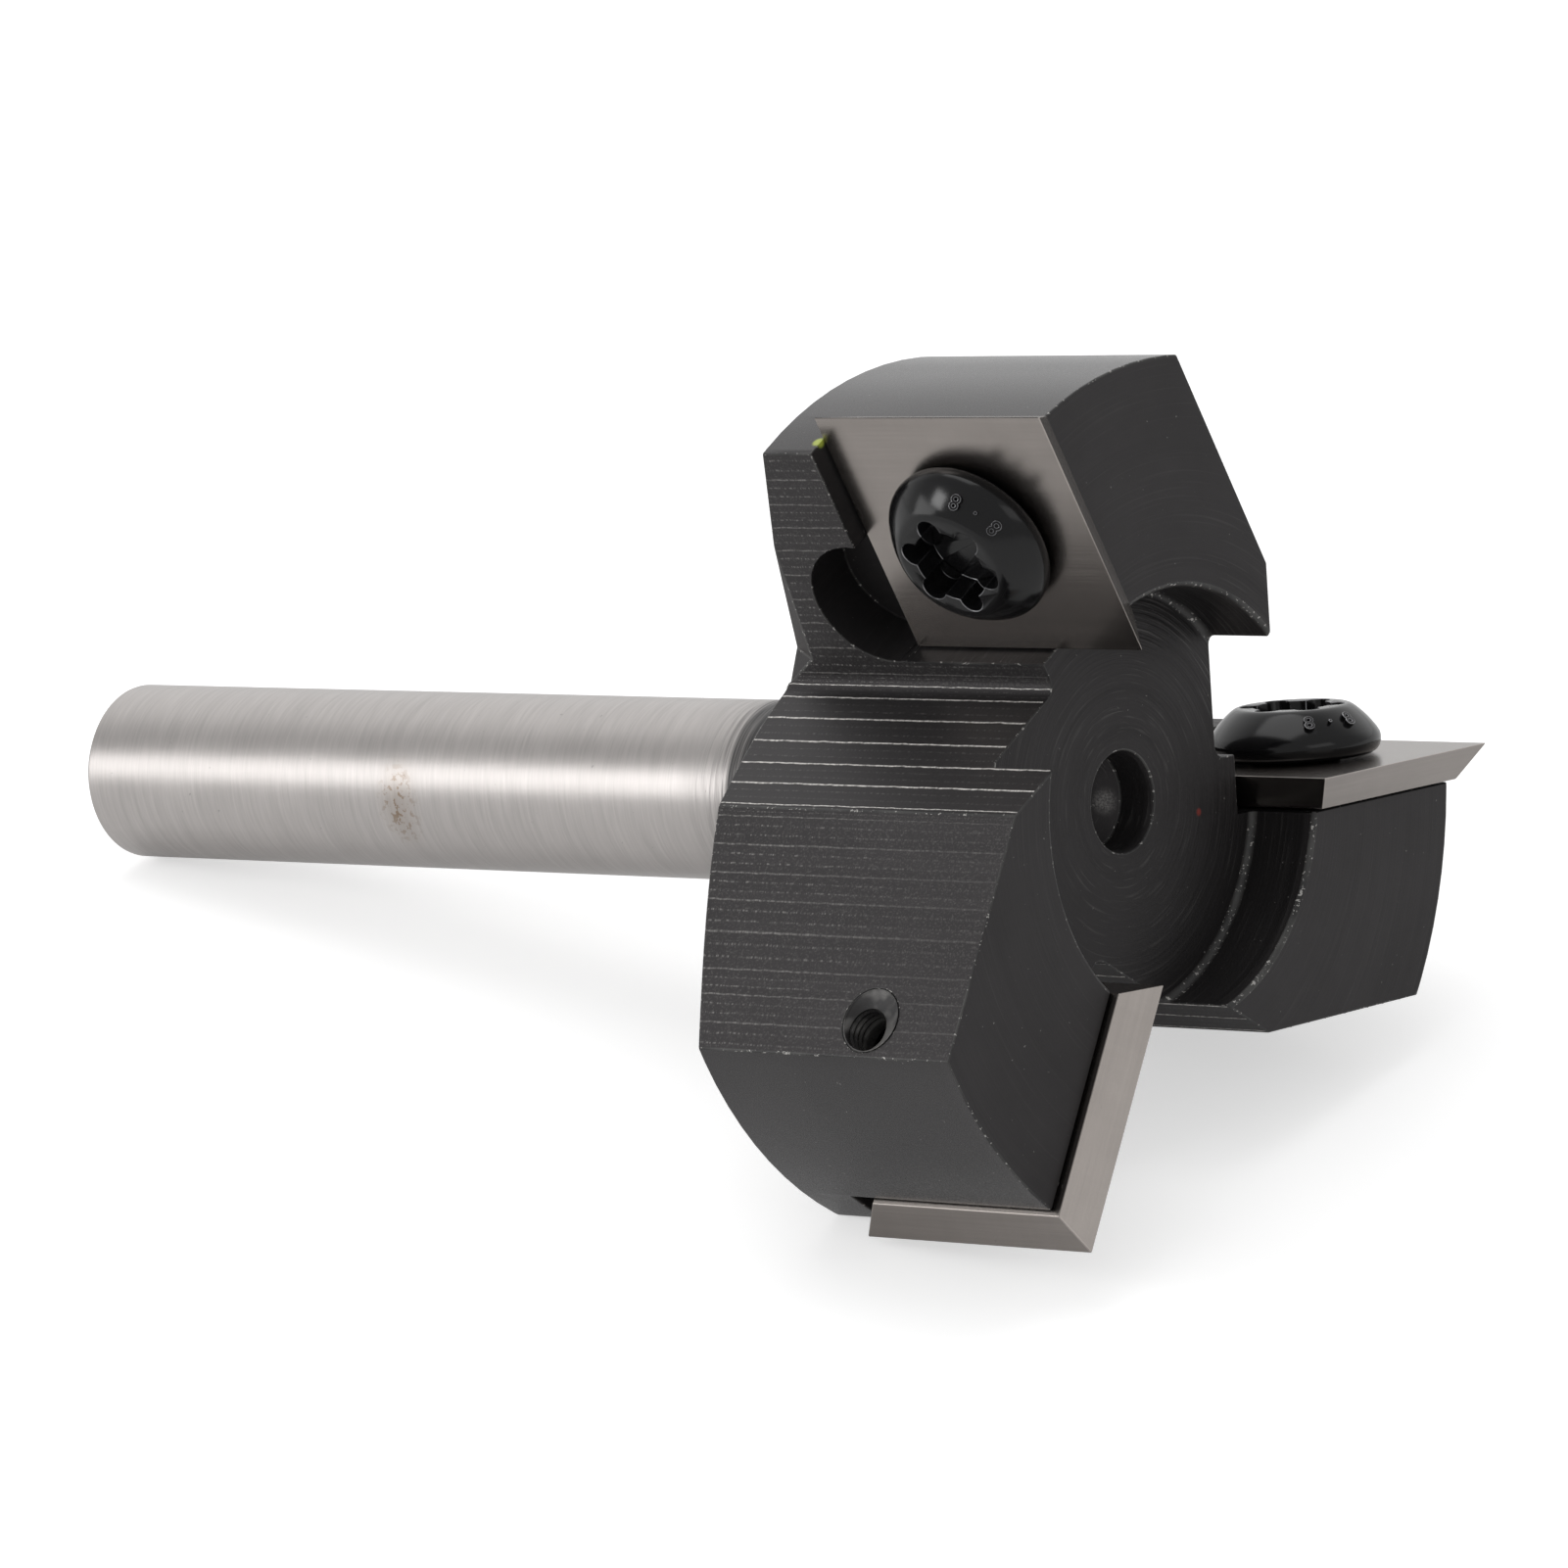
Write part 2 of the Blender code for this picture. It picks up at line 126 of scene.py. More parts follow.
# Inserts and their screws; levels are measured from an insert's face
INSERT_SIDE = 12.0 * MM
INSERT_MIDDLE = 14.15 * MM
INSERT_FRONT = 1.36 * MM
RAKE_OFFSET = 0.05 * MM
SEAT_GAP = 0.1 * MM
SEAT_LEVEL = -1.6 * MM
SEAT_ROOM = 0.9 * MM
EDGE_REACH = 0.08 * MM
CUTTING_REACH = 0.1 * MM
SCREW_TURNS = (math.radians(10.0), math.radians(34.0), math.radians(-62.0))
HEAD_TOP = 2.2 * MM

# Outline of a screw as (radius, height, shift) in millimetres, from its point to the flat
SCREW_RINGS = (
    (1.55, -8.0, 0.0), (1.95, -7.6, 0.0), (1.95, 0.0, 0.0), (3.3, 0.0, 0.0), (3.46, 0.03, 0.0),
    (3.62, 0.13, 0.0), (3.74, 0.3, 0.0), (3.79, 0.5, 0.0), (3.8, 0.68, 0.0), (3.76, 0.86, 0.0),
    (3.64, 1.07, 0.0), (3.47, 1.3, 0.0), (3.28, 1.53, 0.0), (3.07, 1.75, 0.0), (2.84, 1.96, 0.0),
    (2.7, 2.075, 0.0), (2.58, 2.15, 0.0), (2.47, 2.19, 0.0), (2.37, 2.2, 0.0),
)
RING_STEPS = 96
LOBES = 6
DRIVE_CORE_RADIUS = 1.72 * MM
LOBE_RADIUS = 0.55 * MM
LOBE_MIDDLE = 1.78 * MM
LOBE_STEPS = 20
DRIVE_FLOOR = 0.8 * MM
MARK_SIZE = 0.95 * MM
MARK_THICKNESS = 0.3 * MM
MARK_ROUNDING = 0.03 * MM
MARK_STEPS = 3
MARK_LEVEL = 0.99
MARK_PLACE = (3.18 * MM, 1.64 * MM)
MARK_SLOPE = math.radians(45.0)
MARK_MIDDLE = math.radians(308.0)
MARK_STEP = math.radians(17.5)

# The threaded hole where it opens behind a wing, as (radius, height, shift) in
# millimetres along the screw: outside, then the torn mouth, then four turns of thread
THREAD_RINGS = (
    (1.46, -8.56, 0.0), (1.46, -10.575, 0.0), (1.37, -10.575, 0.0), (0.92, -10.32, 0.42),
    (1.01, -10.2, 0.42), (0.88, -10.05, 0.42), (1.01, -9.9, 0.42), (0.88, -9.75, 0.42),
    (1.01, -9.6, 0.42), (0.88, -9.45, 0.42), (1.01, -9.3, 0.42), (0.88, -9.15, 0.42),
    (0.88, -8.56, 0.42), (1.46, -8.56, 0.0),
)
THREAD_TURN = math.radians(38.0)
THREAD_STEPS = 32
THREAD_REACH = 1.6 * MM
THREAD_MOUTH = -10.59 * MM
THREAD_TOP = -8.45 * MM

MERGE = 0.002 * MM
FLAT_ANGLE = math.radians(0.4)
SHARP_ANGLE = math.radians(27.0)
SCREW_SHARP_ANGLE = math.radians(35.0)
SCREW_SMOOTH_ANGLE = math.radians(40.0)

# How far a face's normal may lean, as parts of one along an axis
SAME_WAY = 0.999
LEVEL = 0.9
SLANT = 0.1
UPRIGHT = 0.05
AWAY = 0.02

# Places of the finishes on the body, on an insert and on a screw
TURNED, MILLED, SHANK, WORN, SHADED_SEAT_EDGE, THREAD = range(6)
LIGHTER_STRIP, SHADED_CUTTING = 1, 2
POLISHED_GLINT_SLOT = 1

# Each light: the setting that holds its power, its azimuth and elevation in degrees, and
# its distance, width and height in metres
LIGHTS = (
    ("Key light", "key_power", (-137.0, 10.0), 0.6, (0.3, 0.2)),
    ("Side light", "side_power", (-124.5, 28.5), 0.6, (0.16, 0.15)),
    ("Right light", "right_power", (-12.0, 33.0), 0.6, (0.36, 0.22)),
    ("Top light", "top_power", (160.0, 76.0), 0.8, (0.6, 0.6)),
)
TOOL_MIDDLE = Vector((0.0, 0.0, 15.0 * MM))
FLOOR_RADIUS = 3.0

# Where the photograph was taken from, in metres and degrees, and the camera's sensor
CAMERA_PLACE = (0.22500611, -0.27663479, 0.18139435)
CAMERA_TURN = (64.32245233, 3.19916703, 36.81941537)
CAMERA_REACH = (0.01, 20.0)
SENSOR_WIDTH = 36.0


def lying_frame():
    """The tool's own frame, as it lies in the scene."""
    ahead = Vector((math.cos(LIE_TILT), 0.0, math.sin(LIE_TILT)))
    side = Vector((0.0, 1.0, 0.0))
    over = ahead.cross(side)
    out = side * math.cos(LIE_ROLL) + over * math.sin(LIE_ROLL)
    across = over * math.cos(LIE_ROLL) - side * math.sin(LIE_ROLL)
    turn = Matrix((out, across, ahead)).transposed().to_4x4()
    return Matrix.Translation(LIE_PLACE) @ turn


LIE = lying_frame()


def wing_turn(index):
    return Matrix.Rotation(FIRST_WING + index * math.tau / WINGS, 4, "Z")


def seat_frame(index):
    """X out along the wing, Z out of the insert's face, from the middle of that face."""
    middle = Vector((INSERT_MIDDLE, RAKE_OFFSET, INSERT_FRONT - INSERT_SIDE / 2))
    return LIE @ wing_turn(index) @ Matrix.Translation(middle) @ Matrix.Rotation(-math.pi / 2, 4, "X")


# Handling pieces


def pick(piece):
    """Leaves only this piece selected and active, or nothing selected."""
    if bpy.context.object and bpy.context.object.mode != "OBJECT":
        bpy.ops.object.mode_set(mode="OBJECT")
    bpy.ops.object.select_all(action="DESELECT")
    if piece is not None:
        piece.select_set(True)
        bpy.context.view_layer.objects.active = piece


def apply_modifiers(piece):
    pick(piece)
    for modifier in list(piece.modifiers):
        bpy.ops.object.modifier_apply(modifier=modifier.name)


def settle(piece, placing):
    """Carries the piece to its place and leaves that place in its mesh."""
    piece.matrix_world = placing
    pick(piece)
    bpy.ops.object.transform_apply(location=True, rotation=True, scale=True)


def placed(name, data):
    """A new object in the scene, for a mesh, a light or a camera."""
    made = bpy.data.objects.new(name, data)
    bpy.context.scene.collection.objects.link(made)
    return made


def give(piece, materials):
    for material in materials:
        piece.data.materials.append(material)


def open_mesh(piece):
    """Goes into this piece's edit mode, with its whole mesh selected."""
    pick(piece)
    bpy.ops.object.mode_set(mode="EDIT")
    bpy.ops.mesh.select_all(action="SELECT")


def close_mesh():
    bpy.ops.object.mode_set(mode="OBJECT")


def whole_copy(node, name):
    """A copy of a solid's mesh, with its loose triangles joined into whole faces."""
    piece = placed(name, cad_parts[node].data.copy())
    piece.data.materials.clear()
    pick(piece)
    bpy.ops.mesh.customdata_custom_splitnormals_clear()
    open_mesh(piece)
    bpy.ops.mesh.remove_doubles(threshold=MERGE)
    bpy.ops.mesh.dissolve_limited(angle_limit=FLAT_ANGLE)
    close_mesh()
    return piece


def bevel_edges(piece, name, width, segments, material, angle=None):
    """Bevels the edges sharper than the angle, or else the marked ones, in a finish of their own."""
    bevel = piece.modifiers.new(name, "BEVEL")
    bevel.width = width
    bevel.segments = segments
    bevel.material = material
    bevel.use_clamp_overlap = False
    bevel.limit_method = "ANGLE" if angle else "WEIGHT"
    if angle:
        bevel.angle_limit = angle
    apply_modifiers(piece)


def flatten_light(piece):
    """Smooth shading that leaves flat faces flat to the light."""
    pick(piece)
    bpy.ops.object.shade_smooth_by_angle(angle=SHARP_ANGLE)
    weights = piece.modifiers.new("Flat faces", "WEIGHTED_NORMAL")
    weights.keep_sharp = True
    apply_modifiers(piece)


# Shader nodes


def put(tree, kind, **settings):
    """A new node with these settings."""
    made = tree.nodes.new(kind)
    for name, value in settings.items():
        setattr(made, name, value)
    return made


def feed(socket, value):
    """Links another node's output into the socket, or sets a plain value on it."""
    if isinstance(value, bpy.types.NodeSocket):
        socket.id_data.links.new(value, socket)
    else:
        socket.default_value = value


def feed_row(made, *values):
    """Feeds the node's sockets from the first one on, and returns what it puts out."""
    for socket, value in zip(made.inputs, values):
        feed(socket, value)
    return made.outputs


def feed_named(made, **values):
    """Feeds the named sockets, with _ for a space, and returns what the node puts out."""
    for label, value in values.items():
        feed(made.inputs[label.replace("_", " ")], value)
    return made.outputs


def beside(values, kind, **settings):
    """A new node in the tree that one of the values comes from."""
    tree = next(value.id_data for value in values if isinstance(value, bpy.types.NodeSocket))
    return put(tree, kind, **settings)


def reckon(operation, *values):
    return feed_row(beside(values, "ShaderNodeMath", operation=operation), *values)[0]


def times(first, second):
    return reckon("MULTIPLY", first, second)


def scaled(value, gain, more):
    """The value times a gain, with more added."""
    return reckon("MULTIPLY_ADD", value, gain, more)


def vector_math(operation, *values):
    return feed_row(beside(values, "ShaderNodeVectorMath", operation=operation), *values)


def split(vector):
    return feed_row(beside([vector], "ShaderNodeSeparateXYZ"), vector)


def joined(*parts):
    return feed_row(beside(parts, "ShaderNodeCombineXYZ"), *parts)[0]


def axis_distance(east, north):
    return reckon("SQRT", scaled(north, north, times(east, east)))


def fit_range(value, low, high, to_low=0.0, to_high=1.0, smooth=False):
    """Carries the value from one range to another, and holds it at both ends."""
    kind = "SMOOTHSTEP" if smooth else "LINEAR"
    made = beside([value], "ShaderNodeMapRange", interpolation_type=kind, clamp=True)
    return feed_row(made, value, low, high, to_low, to_high)["Result"]


def blend(share, *ends):
    """Goes from the first value or colour to the second as the share rises."""
    colours = any(isinstance(end, tuple) or getattr(end, "type", None) == "RGBA" for end in ends)
    made = beside([share], "ShaderNodeMix", data_type="RGBA" if colours else "FLOAT")
    feed(made.inputs[0], share)
    kind = "RGBA" if colours else "VALUE"
    for socket, end in zip([given for given in made.inputs[2:] if given.type == kind], ends):
        feed(socket, end)
    return next(result for result in made.outputs if result.type == kind)


def shaded(colour, gain=1.0):
    """The colour made lighter or darker, as a shader takes it."""
    return (*[min(1.0, part * gain) for part in colour], 1.0)


def varied(share, colour, darker, lighter):
    """The colour, between a darker and a lighter shade of it."""
    return blend(share, shaded(colour, darker), shaded(colour, lighter))


def painted(colour, *coats):
    """Lays coats over the colour in turn, each given by its mask, amount and colour."""
    for mask, amount, coat in coats:
        colour = blend(times(mask, amount), colour, coat)
    return colour


def near_spot(place, middle, inner, outer):
    """1 within the inner distance of a spot on the tool, falling to 0 at the outer one."""
    far = vector_math("DISTANCE", place, middle)["Value"]
    return fit_range(far, outer, inner, smooth=True)


def noise(vector, scale, detail, roughness):
    made = beside([vector], "ShaderNodeTexNoise")
    return feed_named(made, Vector=vector, Scale=scale, Detail=detail, Roughness=roughness)["Fac"]


def stretched(vector, scale):
    return vector_math("MULTIPLY", vector, scale)[0]


def streaks(vector, scale, detail, roughness):
    """Noise with its own scale along each axis."""
    return noise(stretched(vector, scale), 1.0, detail, roughness)


def raised(height, distance, strength, below=None):
    """A bump, over another one or over the plain surface."""
    under = {} if below is None else {"Normal": below}
    made = beside([height], "ShaderNodeBump")
    return feed_named(made, Height=height, Distance=distance, Strength=strength, **under)["Normal"]


def ray_kinds(tree):
    """Where the camera sees a thing directly or through another, and where a shiny one mirrors it."""
    path = put(tree, "ShaderNodeLightPath").outputs
    return reckon("MAXIMUM", path["Is Camera Ray"], path["Is Transmission Ray"]), path["Is Glossy Ray"]


def finish(material, **values):
    """Feeds the material's Principled shader, and returns the material."""
    feed_named(material.node_tree.nodes["Principled BSDF"], **values)
    return material


def new_material(name, shown):
    """A material with nodes, and the colour that a solid view shows."""
    material = bpy.data.materials.new(name)
    material.use_nodes = True
    material.diffuse_color = shown
    return material


def tool_place(tree):
    """Where a point of the surface is in the tool's own frame."""
    given = put(tree, "ShaderNodeTexCoord").outputs["Object"]
    made = put(tree, "ShaderNodeMapping", vector_type="TEXTURE")
    lie = {"Location": LIE.to_translation(), "Rotation": LIE.to_euler("XYZ")}
    return feed_named(made, Vector=given, **lie)["Vector"]


def tool_material(name, shown):
    material = new_material(name, shown)
    return material, tool_place(material.node_tree)


# Patterns shared by materials, each built once as a node group


def build_turning_marks(given, result):
    """Rings left by a turning tool: they run round the axis and differ from ring to ring."""
    east, north, height = split(given["Vector"])
    radius = axis_distance(east, north)
    rings, layers = (reckon("DIVIDE", size, given["Pitch"]) for size in (radius, height))
    safe = reckon("MAXIMUM", radius, 0.1 * MM)
    round_east, round_north = (
        times(reckon("DIVIDE", side, safe), given["Sweep"]) for side in (east, north)
    )
    spot = joined(rings, layers, round_east)
    for label, scale, detail in (("Rings", 1.0, 3.0), ("Broad rings", 0.17, 1.0)):
        made = beside([spot], "ShaderNodeTexNoise", noise_dimensions="4D")
        ring = feed_named(made, Vector=spot, W=round_north, Scale=scale, Detail=detail)["Fac"]
        feed(result.inputs[label], ring)


def build_specks(given, result):
    """Small scattered spots, with soft rims."""
    fine = noise(given["Vector"], reckon("DIVIDE", 1.0, given["Size"]), 2.0, 0.6)
    limit = reckon("SUBTRACT", 1.0, given["Share"])
    full = reckon("ADD", limit, 0.06)
    feed_named(result, Mask=fit_range(fine, limit, full, smooth=True))


def build_grain(given, result):
    """The fine unevenness that keeps a finish from looking like plastic."""
    scale = reckon("DIVIDE", 1.0, given["Size"])
    fine = noise(given["Vector"], scale, 3.0, 0.65)
    clouds = noise(given["Vector"], times(scale, 0.018), 3.0, 0.55)
    feed_named(result, Grain=fine, Clouds=clouds)


# What builds each pattern, the sizes that it takes and what it puts out
PATTERNS = {
    "Turning marks": (build_turning_marks, {"Pitch": 0.1 * MM, "Sweep": 1.5}, ("Rings", "Broad rings")),
    "Specks": (build_specks, {"Size": 0.1 * MM, "Share": 0.3}, ("Mask",)),
    "Fine grain": (build_grain, {"Size": 0.08 * MM}, ("Grain", "Clouds")),
}


def new_pattern(name):
    build, sizes, results = PATTERNS[name]
    group = bpy.data.node_groups.new(name, "ShaderNodeTree")
    group.interface.new_socket(name="Vector", in_out="INPUT", socket_type="NodeSocketVector")
    for label, size in sizes.items():
        socket = group.interface.new_socket(name=label, in_out="INPUT", socket_type="NodeSocketFloat")
        socket.default_value = size
    for label in results:
        group.interface.new_socket(name=label, in_out="OUTPUT", socket_type="NodeSocketFloat")
    build(put(group, "NodeGroupInput").outputs, put(group, "NodeGroupOutput"))
    return group


def pattern(name, vector, **sizes):
    """Puts one of the shared patterns in the tree, and returns what it puts out."""
    group = bpy.data.node_groups.get(name) or new_pattern(name)
    return feed_named(beside([vector], "ShaderNodeGroup", node_tree=group), Vector=vector, **sizes)


def specks(place, size, share):
    return pattern("Specks", place, Size=size, Share=share)["Mask"]


def grain(place, size):
    """Fine grain and broad clouds."""
    return pattern("Fine grain", place, Size=size)


# Materials


def speckled(place, colour):
    """Adds the red speck in the recess and the yellow one at the end of a pocket."""
    return painted(
        colour,
        (near_spot(place, RED_SPECK, 0.08 * MM, 0.22 * MM), 0.8, RED),
        (near_spot(place, YELLOW_SPECK, 0.16 * MM, 0.34 * MM), 0.9, YELLOW),
    )


def turned_oxide(look):
    """Black oxide over turned steel: the fronts, the recess, the rims and the back cone."""
    black, bright = look.oxide_colour, look.crest_colour
    material, place = tool_material("Black oxide, turned", shaded(black))
    east, north, height = split(place)
    rings, broad_rings = pattern("Turning marks", place, Pitch=0.12 * MM, Sweep=1.8)
    fine, clouds = grain(place, 0.09 * MM)
    on_rim = fit_range(axis_distance(east, north), *RIM_RADII)
    in_recess = times(fit_range(height, *RECESS_LEVELS), fit_range(height, *BACK_LEVELS))
    scored = near_spot(place, SCORED_SPOT, 0.8 * MM, 7.5 * MM)
    depth = scaled(scored, 1.1, scaled(in_recess, 0.6, 0.28))
    depth = times(depth, reckon("SUBTRACT", 1.0, on_rim))
    light_rings = times(fit_range(rings, 0.57, 0.7, smooth=True), depth)
    dark_rings = times(fit_range(broad_rings, 0.5, 0.3, smooth=True), depth)
    # painted highlight: a glint painted lighter at the bottom of the centre hole
    bottom = near_spot(place, PAINTED_GLINT_SPOT, 0.1 * MM, 0.75 * MM)
    painted_glint = times(bottom, fit_range(fine, 0.4, 0.66, 0.25, 1.0))
    colour = painted(
        varied(fit_range(clouds, 0.35, 0.65), black, 0.8, 1.2),
        # painted shade: between the fronts and the back cone, the recess above all, the colour is painted
        # darker
        (in_recess, 0.35, shaded(black, 0.3)),
        (dark_rings, 0.6, shaded(black, 0.2)),
        (light_rings, 0.3, shaded(bright, 0.11)),
        (specks(place, 0.4 * MM, 0.27), 0.6, shaded(black, 0.2)),
        (specks(place, 0.24 * MM, 0.28), 0.6, shaded(bright, 0.35)),
        (painted_glint, 0.6, shaded(bright, 0.5)),
    )
    rough = scaled(light_rings, -0.06, scaled(fine, 0.14, look.oxide_roughness - 0.07))
    low = raised(times(fine, scaled(on_rim, -0.85, 1.0)), 0.006 * MM, 0.5)
    ringed = scaled(times(broad_rings, depth), 2.0, times(rings, depth))
    return finish(
        material,
        Base_Color=speckled(place, colour),
        Specular_Tint=OXIDE_TINT,
        Specular_IOR_Level=0.38,
        Roughness=scaled(on_rim, look.rim_roughness - look.oxide_roughness, rough),
        Coat_Weight=times(on_rim, look.rim_sheen),
        Coat_Roughness=0.2,
        Normal=raised(ringed, look.ring_height, 1.0, low),
    )


def pass_counter(along):
    """Counts the milling passes up to here: a whole number at each crest."""
    counter = beside([along], "ShaderNodeFloatCurve")
    feed(counter.inputs["Value"], along)
    points = counter.mapping.curves[0].points
    count = len(CREST_PLACES) + 1
    stops = [(0.0, 0.0)]
    for place, spot in enumerate(CREST_PLACES, 1):
        stops.append(((spot - CREST_START) / CREST_SPAN, place / count))
    stops.append((1.0, 1.0))
    while len(points) < len(stops):
        points.new(0.5, 0.5)
    for point, spot in zip(points, stops):
        point.location = spot
        point.handle_type = "VECTOR"
    counter.mapping.update()
    return times(counter.outputs[0], float(count))


def pass_lines(passes, down, scales, detail, roughness):
    """0.5 on a line between passes and 0 amid a pass, and an uneven value that runs along each line."""
    edge = reckon("ABSOLUTE", reckon("SUBTRACT", reckon("FRACT", passes), 0.5))
    nearest = reckon("FLOOR", reckon("ADD", passes, 0.5))
    spot = joined(times(nearest, scales[0]), times(down, scales[1]))
    return edge, noise(spot, 1.0, detail, roughness)


def milled_oxide(look):
    """Black oxide over milled steel, with the worn crests between the passes."""
    black = look.oxide_colour
    material, place = tool_material("Black oxide, milled", shaded(black))
    marks = put(material.node_tree, "ShaderNodeUVMap", uv_map="Milling").outputs["UV"]
    along, down, _ = split(marks)
    start, end = ((spot - CREST_START) / CREST_SPAN for spot in FLOOR_ENDS)
    before_end = fit_range(along, end + FLOOR_FADE, end)
    floor = times(fit_range(along, start - FLOOR_FADE, start), before_end)
    drift = streaks(marks, (40.0, 26.0, 1.0), 3.0, 0.6)
    passes = pass_counter(scaled(drift, 0.004, reckon("SUBTRACT", along, 0.002)))
    edge, broken = pass_lines(passes, down, (3.7, 95.0), 4.0, 0.75)
    fade = fit_range(down, 0.2, 0.75, 0.3, 1.0)
    rubbed = times(fit_range(broken, 0.42, 0.66, 0.03, 0.34), fade)
    kept = blend(floor, rubbed, fit_range(broken, 0.36, 0.56, 0.3, 1.0))
    strength = times(fit_range(edge, 0.458, 0.484, smooth=True), kept)
    fine_pass = times(passes, 3.0)
    fine_edge, dotted = pass_lines(fine_pass, down, (5.3, 150.0), 3.0, 0.7)
    fine_line = times(fit_range(fine_edge, 0.38, 0.46), fit_range(dotted, 0.48, 0.68))
    fine_line = times(fine_line, blend(floor, times(fade, 0.34), 0.1))
    fine, clouds = grain(place, 0.1 * MM)
    gritty = times(fit_range(fine, 0.52, 0.78), blend(floor, 0.1, 0.02))
    worn = reckon("MAXIMUM", strength, reckon("MAXIMUM", fine_line, gritty))
    band = beside([fine_pass], "ShaderNodeTexWhiteNoise", noise_dimensions="1D")
    chance = feed_named(band, W=reckon("FLOOR", fine_pass))[0]
    tone = fit_range(scaled(chance, 0.3, times(clouds, 0.8)), 0.3, 0.8)
    # painted shade: the gullet floor is painted darker than the milled walls
    colour = painted(varied(tone, black, 0.75, 1.3), (floor, 0.4, shaded(black, 0.4)))
    low = raised(fine_edge, 0.006 * MM, 0.6, raised(fine, 0.01 * MM, 0.7))
    return finish(
        material,
        Base_Color=blend(worn, colour, shaded(look.crest_colour)),
        Specular_Tint=OXIDE_TINT,
        Specular_IOR_Level=0.46,
        Metallic=times(strength, 0.6),
        Roughness=scaled(fine, 0.2, look.oxide_roughness - 0.06),
        Normal=raised(times(edge, edge), look.crest_height, 0.6, low),
    )


def ground_shank(look):
    """Bright ground steel, with the black oxide left near the neck and a faint brown stain."""
    bright = look.shank_colour
    material, place = tool_material("Ground shank", shaded(bright))
    height = split(place)[2]
    scratches = streaks(place, (240.0, 240.0, 7000.0), 4.0, 0.65)
    turn = (math.radians(9.0), math.radians(-7.0), 0.0)
    slanted = feed_named(beside([place], "ShaderNodeMapping"), Vector=place, Rotation=turn)[0]
    hatch = streaks(slanted, (330.0, 330.0, 4200.0), 2.0, 0.5)
    clouds = grain(place, 0.06 * MM)["Clouds"]
    ragged = scaled(streaks(place, (130.0, 130.0, 3200.0), 3.0, 0.55), RAGGED, height)
    swirl = times(fit_range(scratches, 0.42, 0.6), fit_range(height, *SWIRL_LEVELS))
    bared = fit_range(ragged, *BARED_LEVELS)
    oxide = reckon("SUBTRACT", 1.0, times(bared, scaled(swirl, -0.55, 1.0)))
    tone = scaled(clouds, 0.2, scaled(scratches, 0.55, times(hatch, 0.25)))
    near = near_spot(stretched(place, STAIN_STRETCH), STAIN_SPOT, 0.4 * MM, 2.7 * MM)
    uneven = scaled(specks(place, 0.3 * MM, 0.46), 0.5, 0.2)
    colour = painted(
        varied(fit_range(tone, 0.36, 0.64), bright, 0.9, 1.1),
        (specks(place, 0.3 * MM, 0.27), 0.5, shaded(bright, 0.4)),
        (near, uneven, BROWN),
    )
    rough = scaled(clouds, 0.12, look.shank_roughness - 0.06)
    return finish(
        material,
        Base_Color=blend(oxide, colour, shaded(look.oxide_colour, 1.4)),
        Metallic=blend(oxide, 1.0, 0.15),
        Roughness=blend(oxide, rough, 0.42),
        Normal=raised(hatch, 0.004 * MM, 0.5, raised(scratches, 0.009 * MM, 0.8)),
    )


def worn_edge(look):
    """The thin strip along each edge, where the black has rubbed and chipped off."""
    material, place = tool_material("Black oxide, worn edge", shaded(look.oxide_colour))
    nicks = specks(place, 0.17 * MM, 0.39)
    fine, clouds = grain(place, 0.05 * MM)
    share = fit_range(clouds, 0.42, 0.66)
    colour = blend(share, shaded(look.oxide_colour, 0.9), shaded(look.crest_colour, 0.07))
    colour = painted(colour, (nicks, 0.8, shaded(look.crest_colour, 0.7)))
    return finish(
        material,
        Base_Color=speckled(place, colour),
        Metallic=times(nicks, 0.6),
        Roughness=0.45,
        Normal=raised(fine, 0.01 * MM, 0.8),
    )


def shaded_seat_edge(look):
    """The strip along a seat's rim, under the insert: painted near black as the shadow there, with a few
    bright nicks.
    """
    black = shaded(look.oxide_colour, 0.2)
    material, place = tool_material("Black oxide, seat edge", black)
    nicks = specks(place, 0.2 * MM, 0.34)
    colour = painted(black, (nicks, 0.5, shaded(look.crest_colour, 0.6)))
    return finish(material, Base_Color=colour, Roughness=0.7, Specular_IOR_Level=0.1)


def bare_thread(look):
    """Steel rubbed half bare, in the threaded hole behind each wing."""
    bright = look.crest_colour
    material, place = tool_material("Threaded hole", shaded(bright, 0.35))
    fine, clouds = grain(place, 0.04 * MM)
    share = fit_range(clouds, 0.4, 0.62)
    return finish(
        material,
        Base_Color=blend(share, shaded(look.oxide_colour, 1.5), shaded(bright, 0.38)),
        Metallic=scaled(share, 0.6, 0.3),
        Roughness=0.4,
        Normal=raised(fine, 0.01 * MM, 0.7),
    )


def shaded_cutting_edge(look):
    """The outer cutting edge's strip: painted dark as shade, with a bright nick here and there."""
    grey = look.carbide_colour
    material, place = tool_material("Carbide, cutting edge", shaded(grey, 0.1))
    uneven = fit_range(grain(place, 0.05 * MM)["Clouds"], 0.35, 0.65)
    nicks = specks(place, 0.7 * MM, 0.31)
    colour = blend(nicks, varied(uneven, grey, 0.04, 0.25), NICK)
    return finish(material, Base_Color=colour, Roughness=0.6, Specular_IOR_Level=0.2)


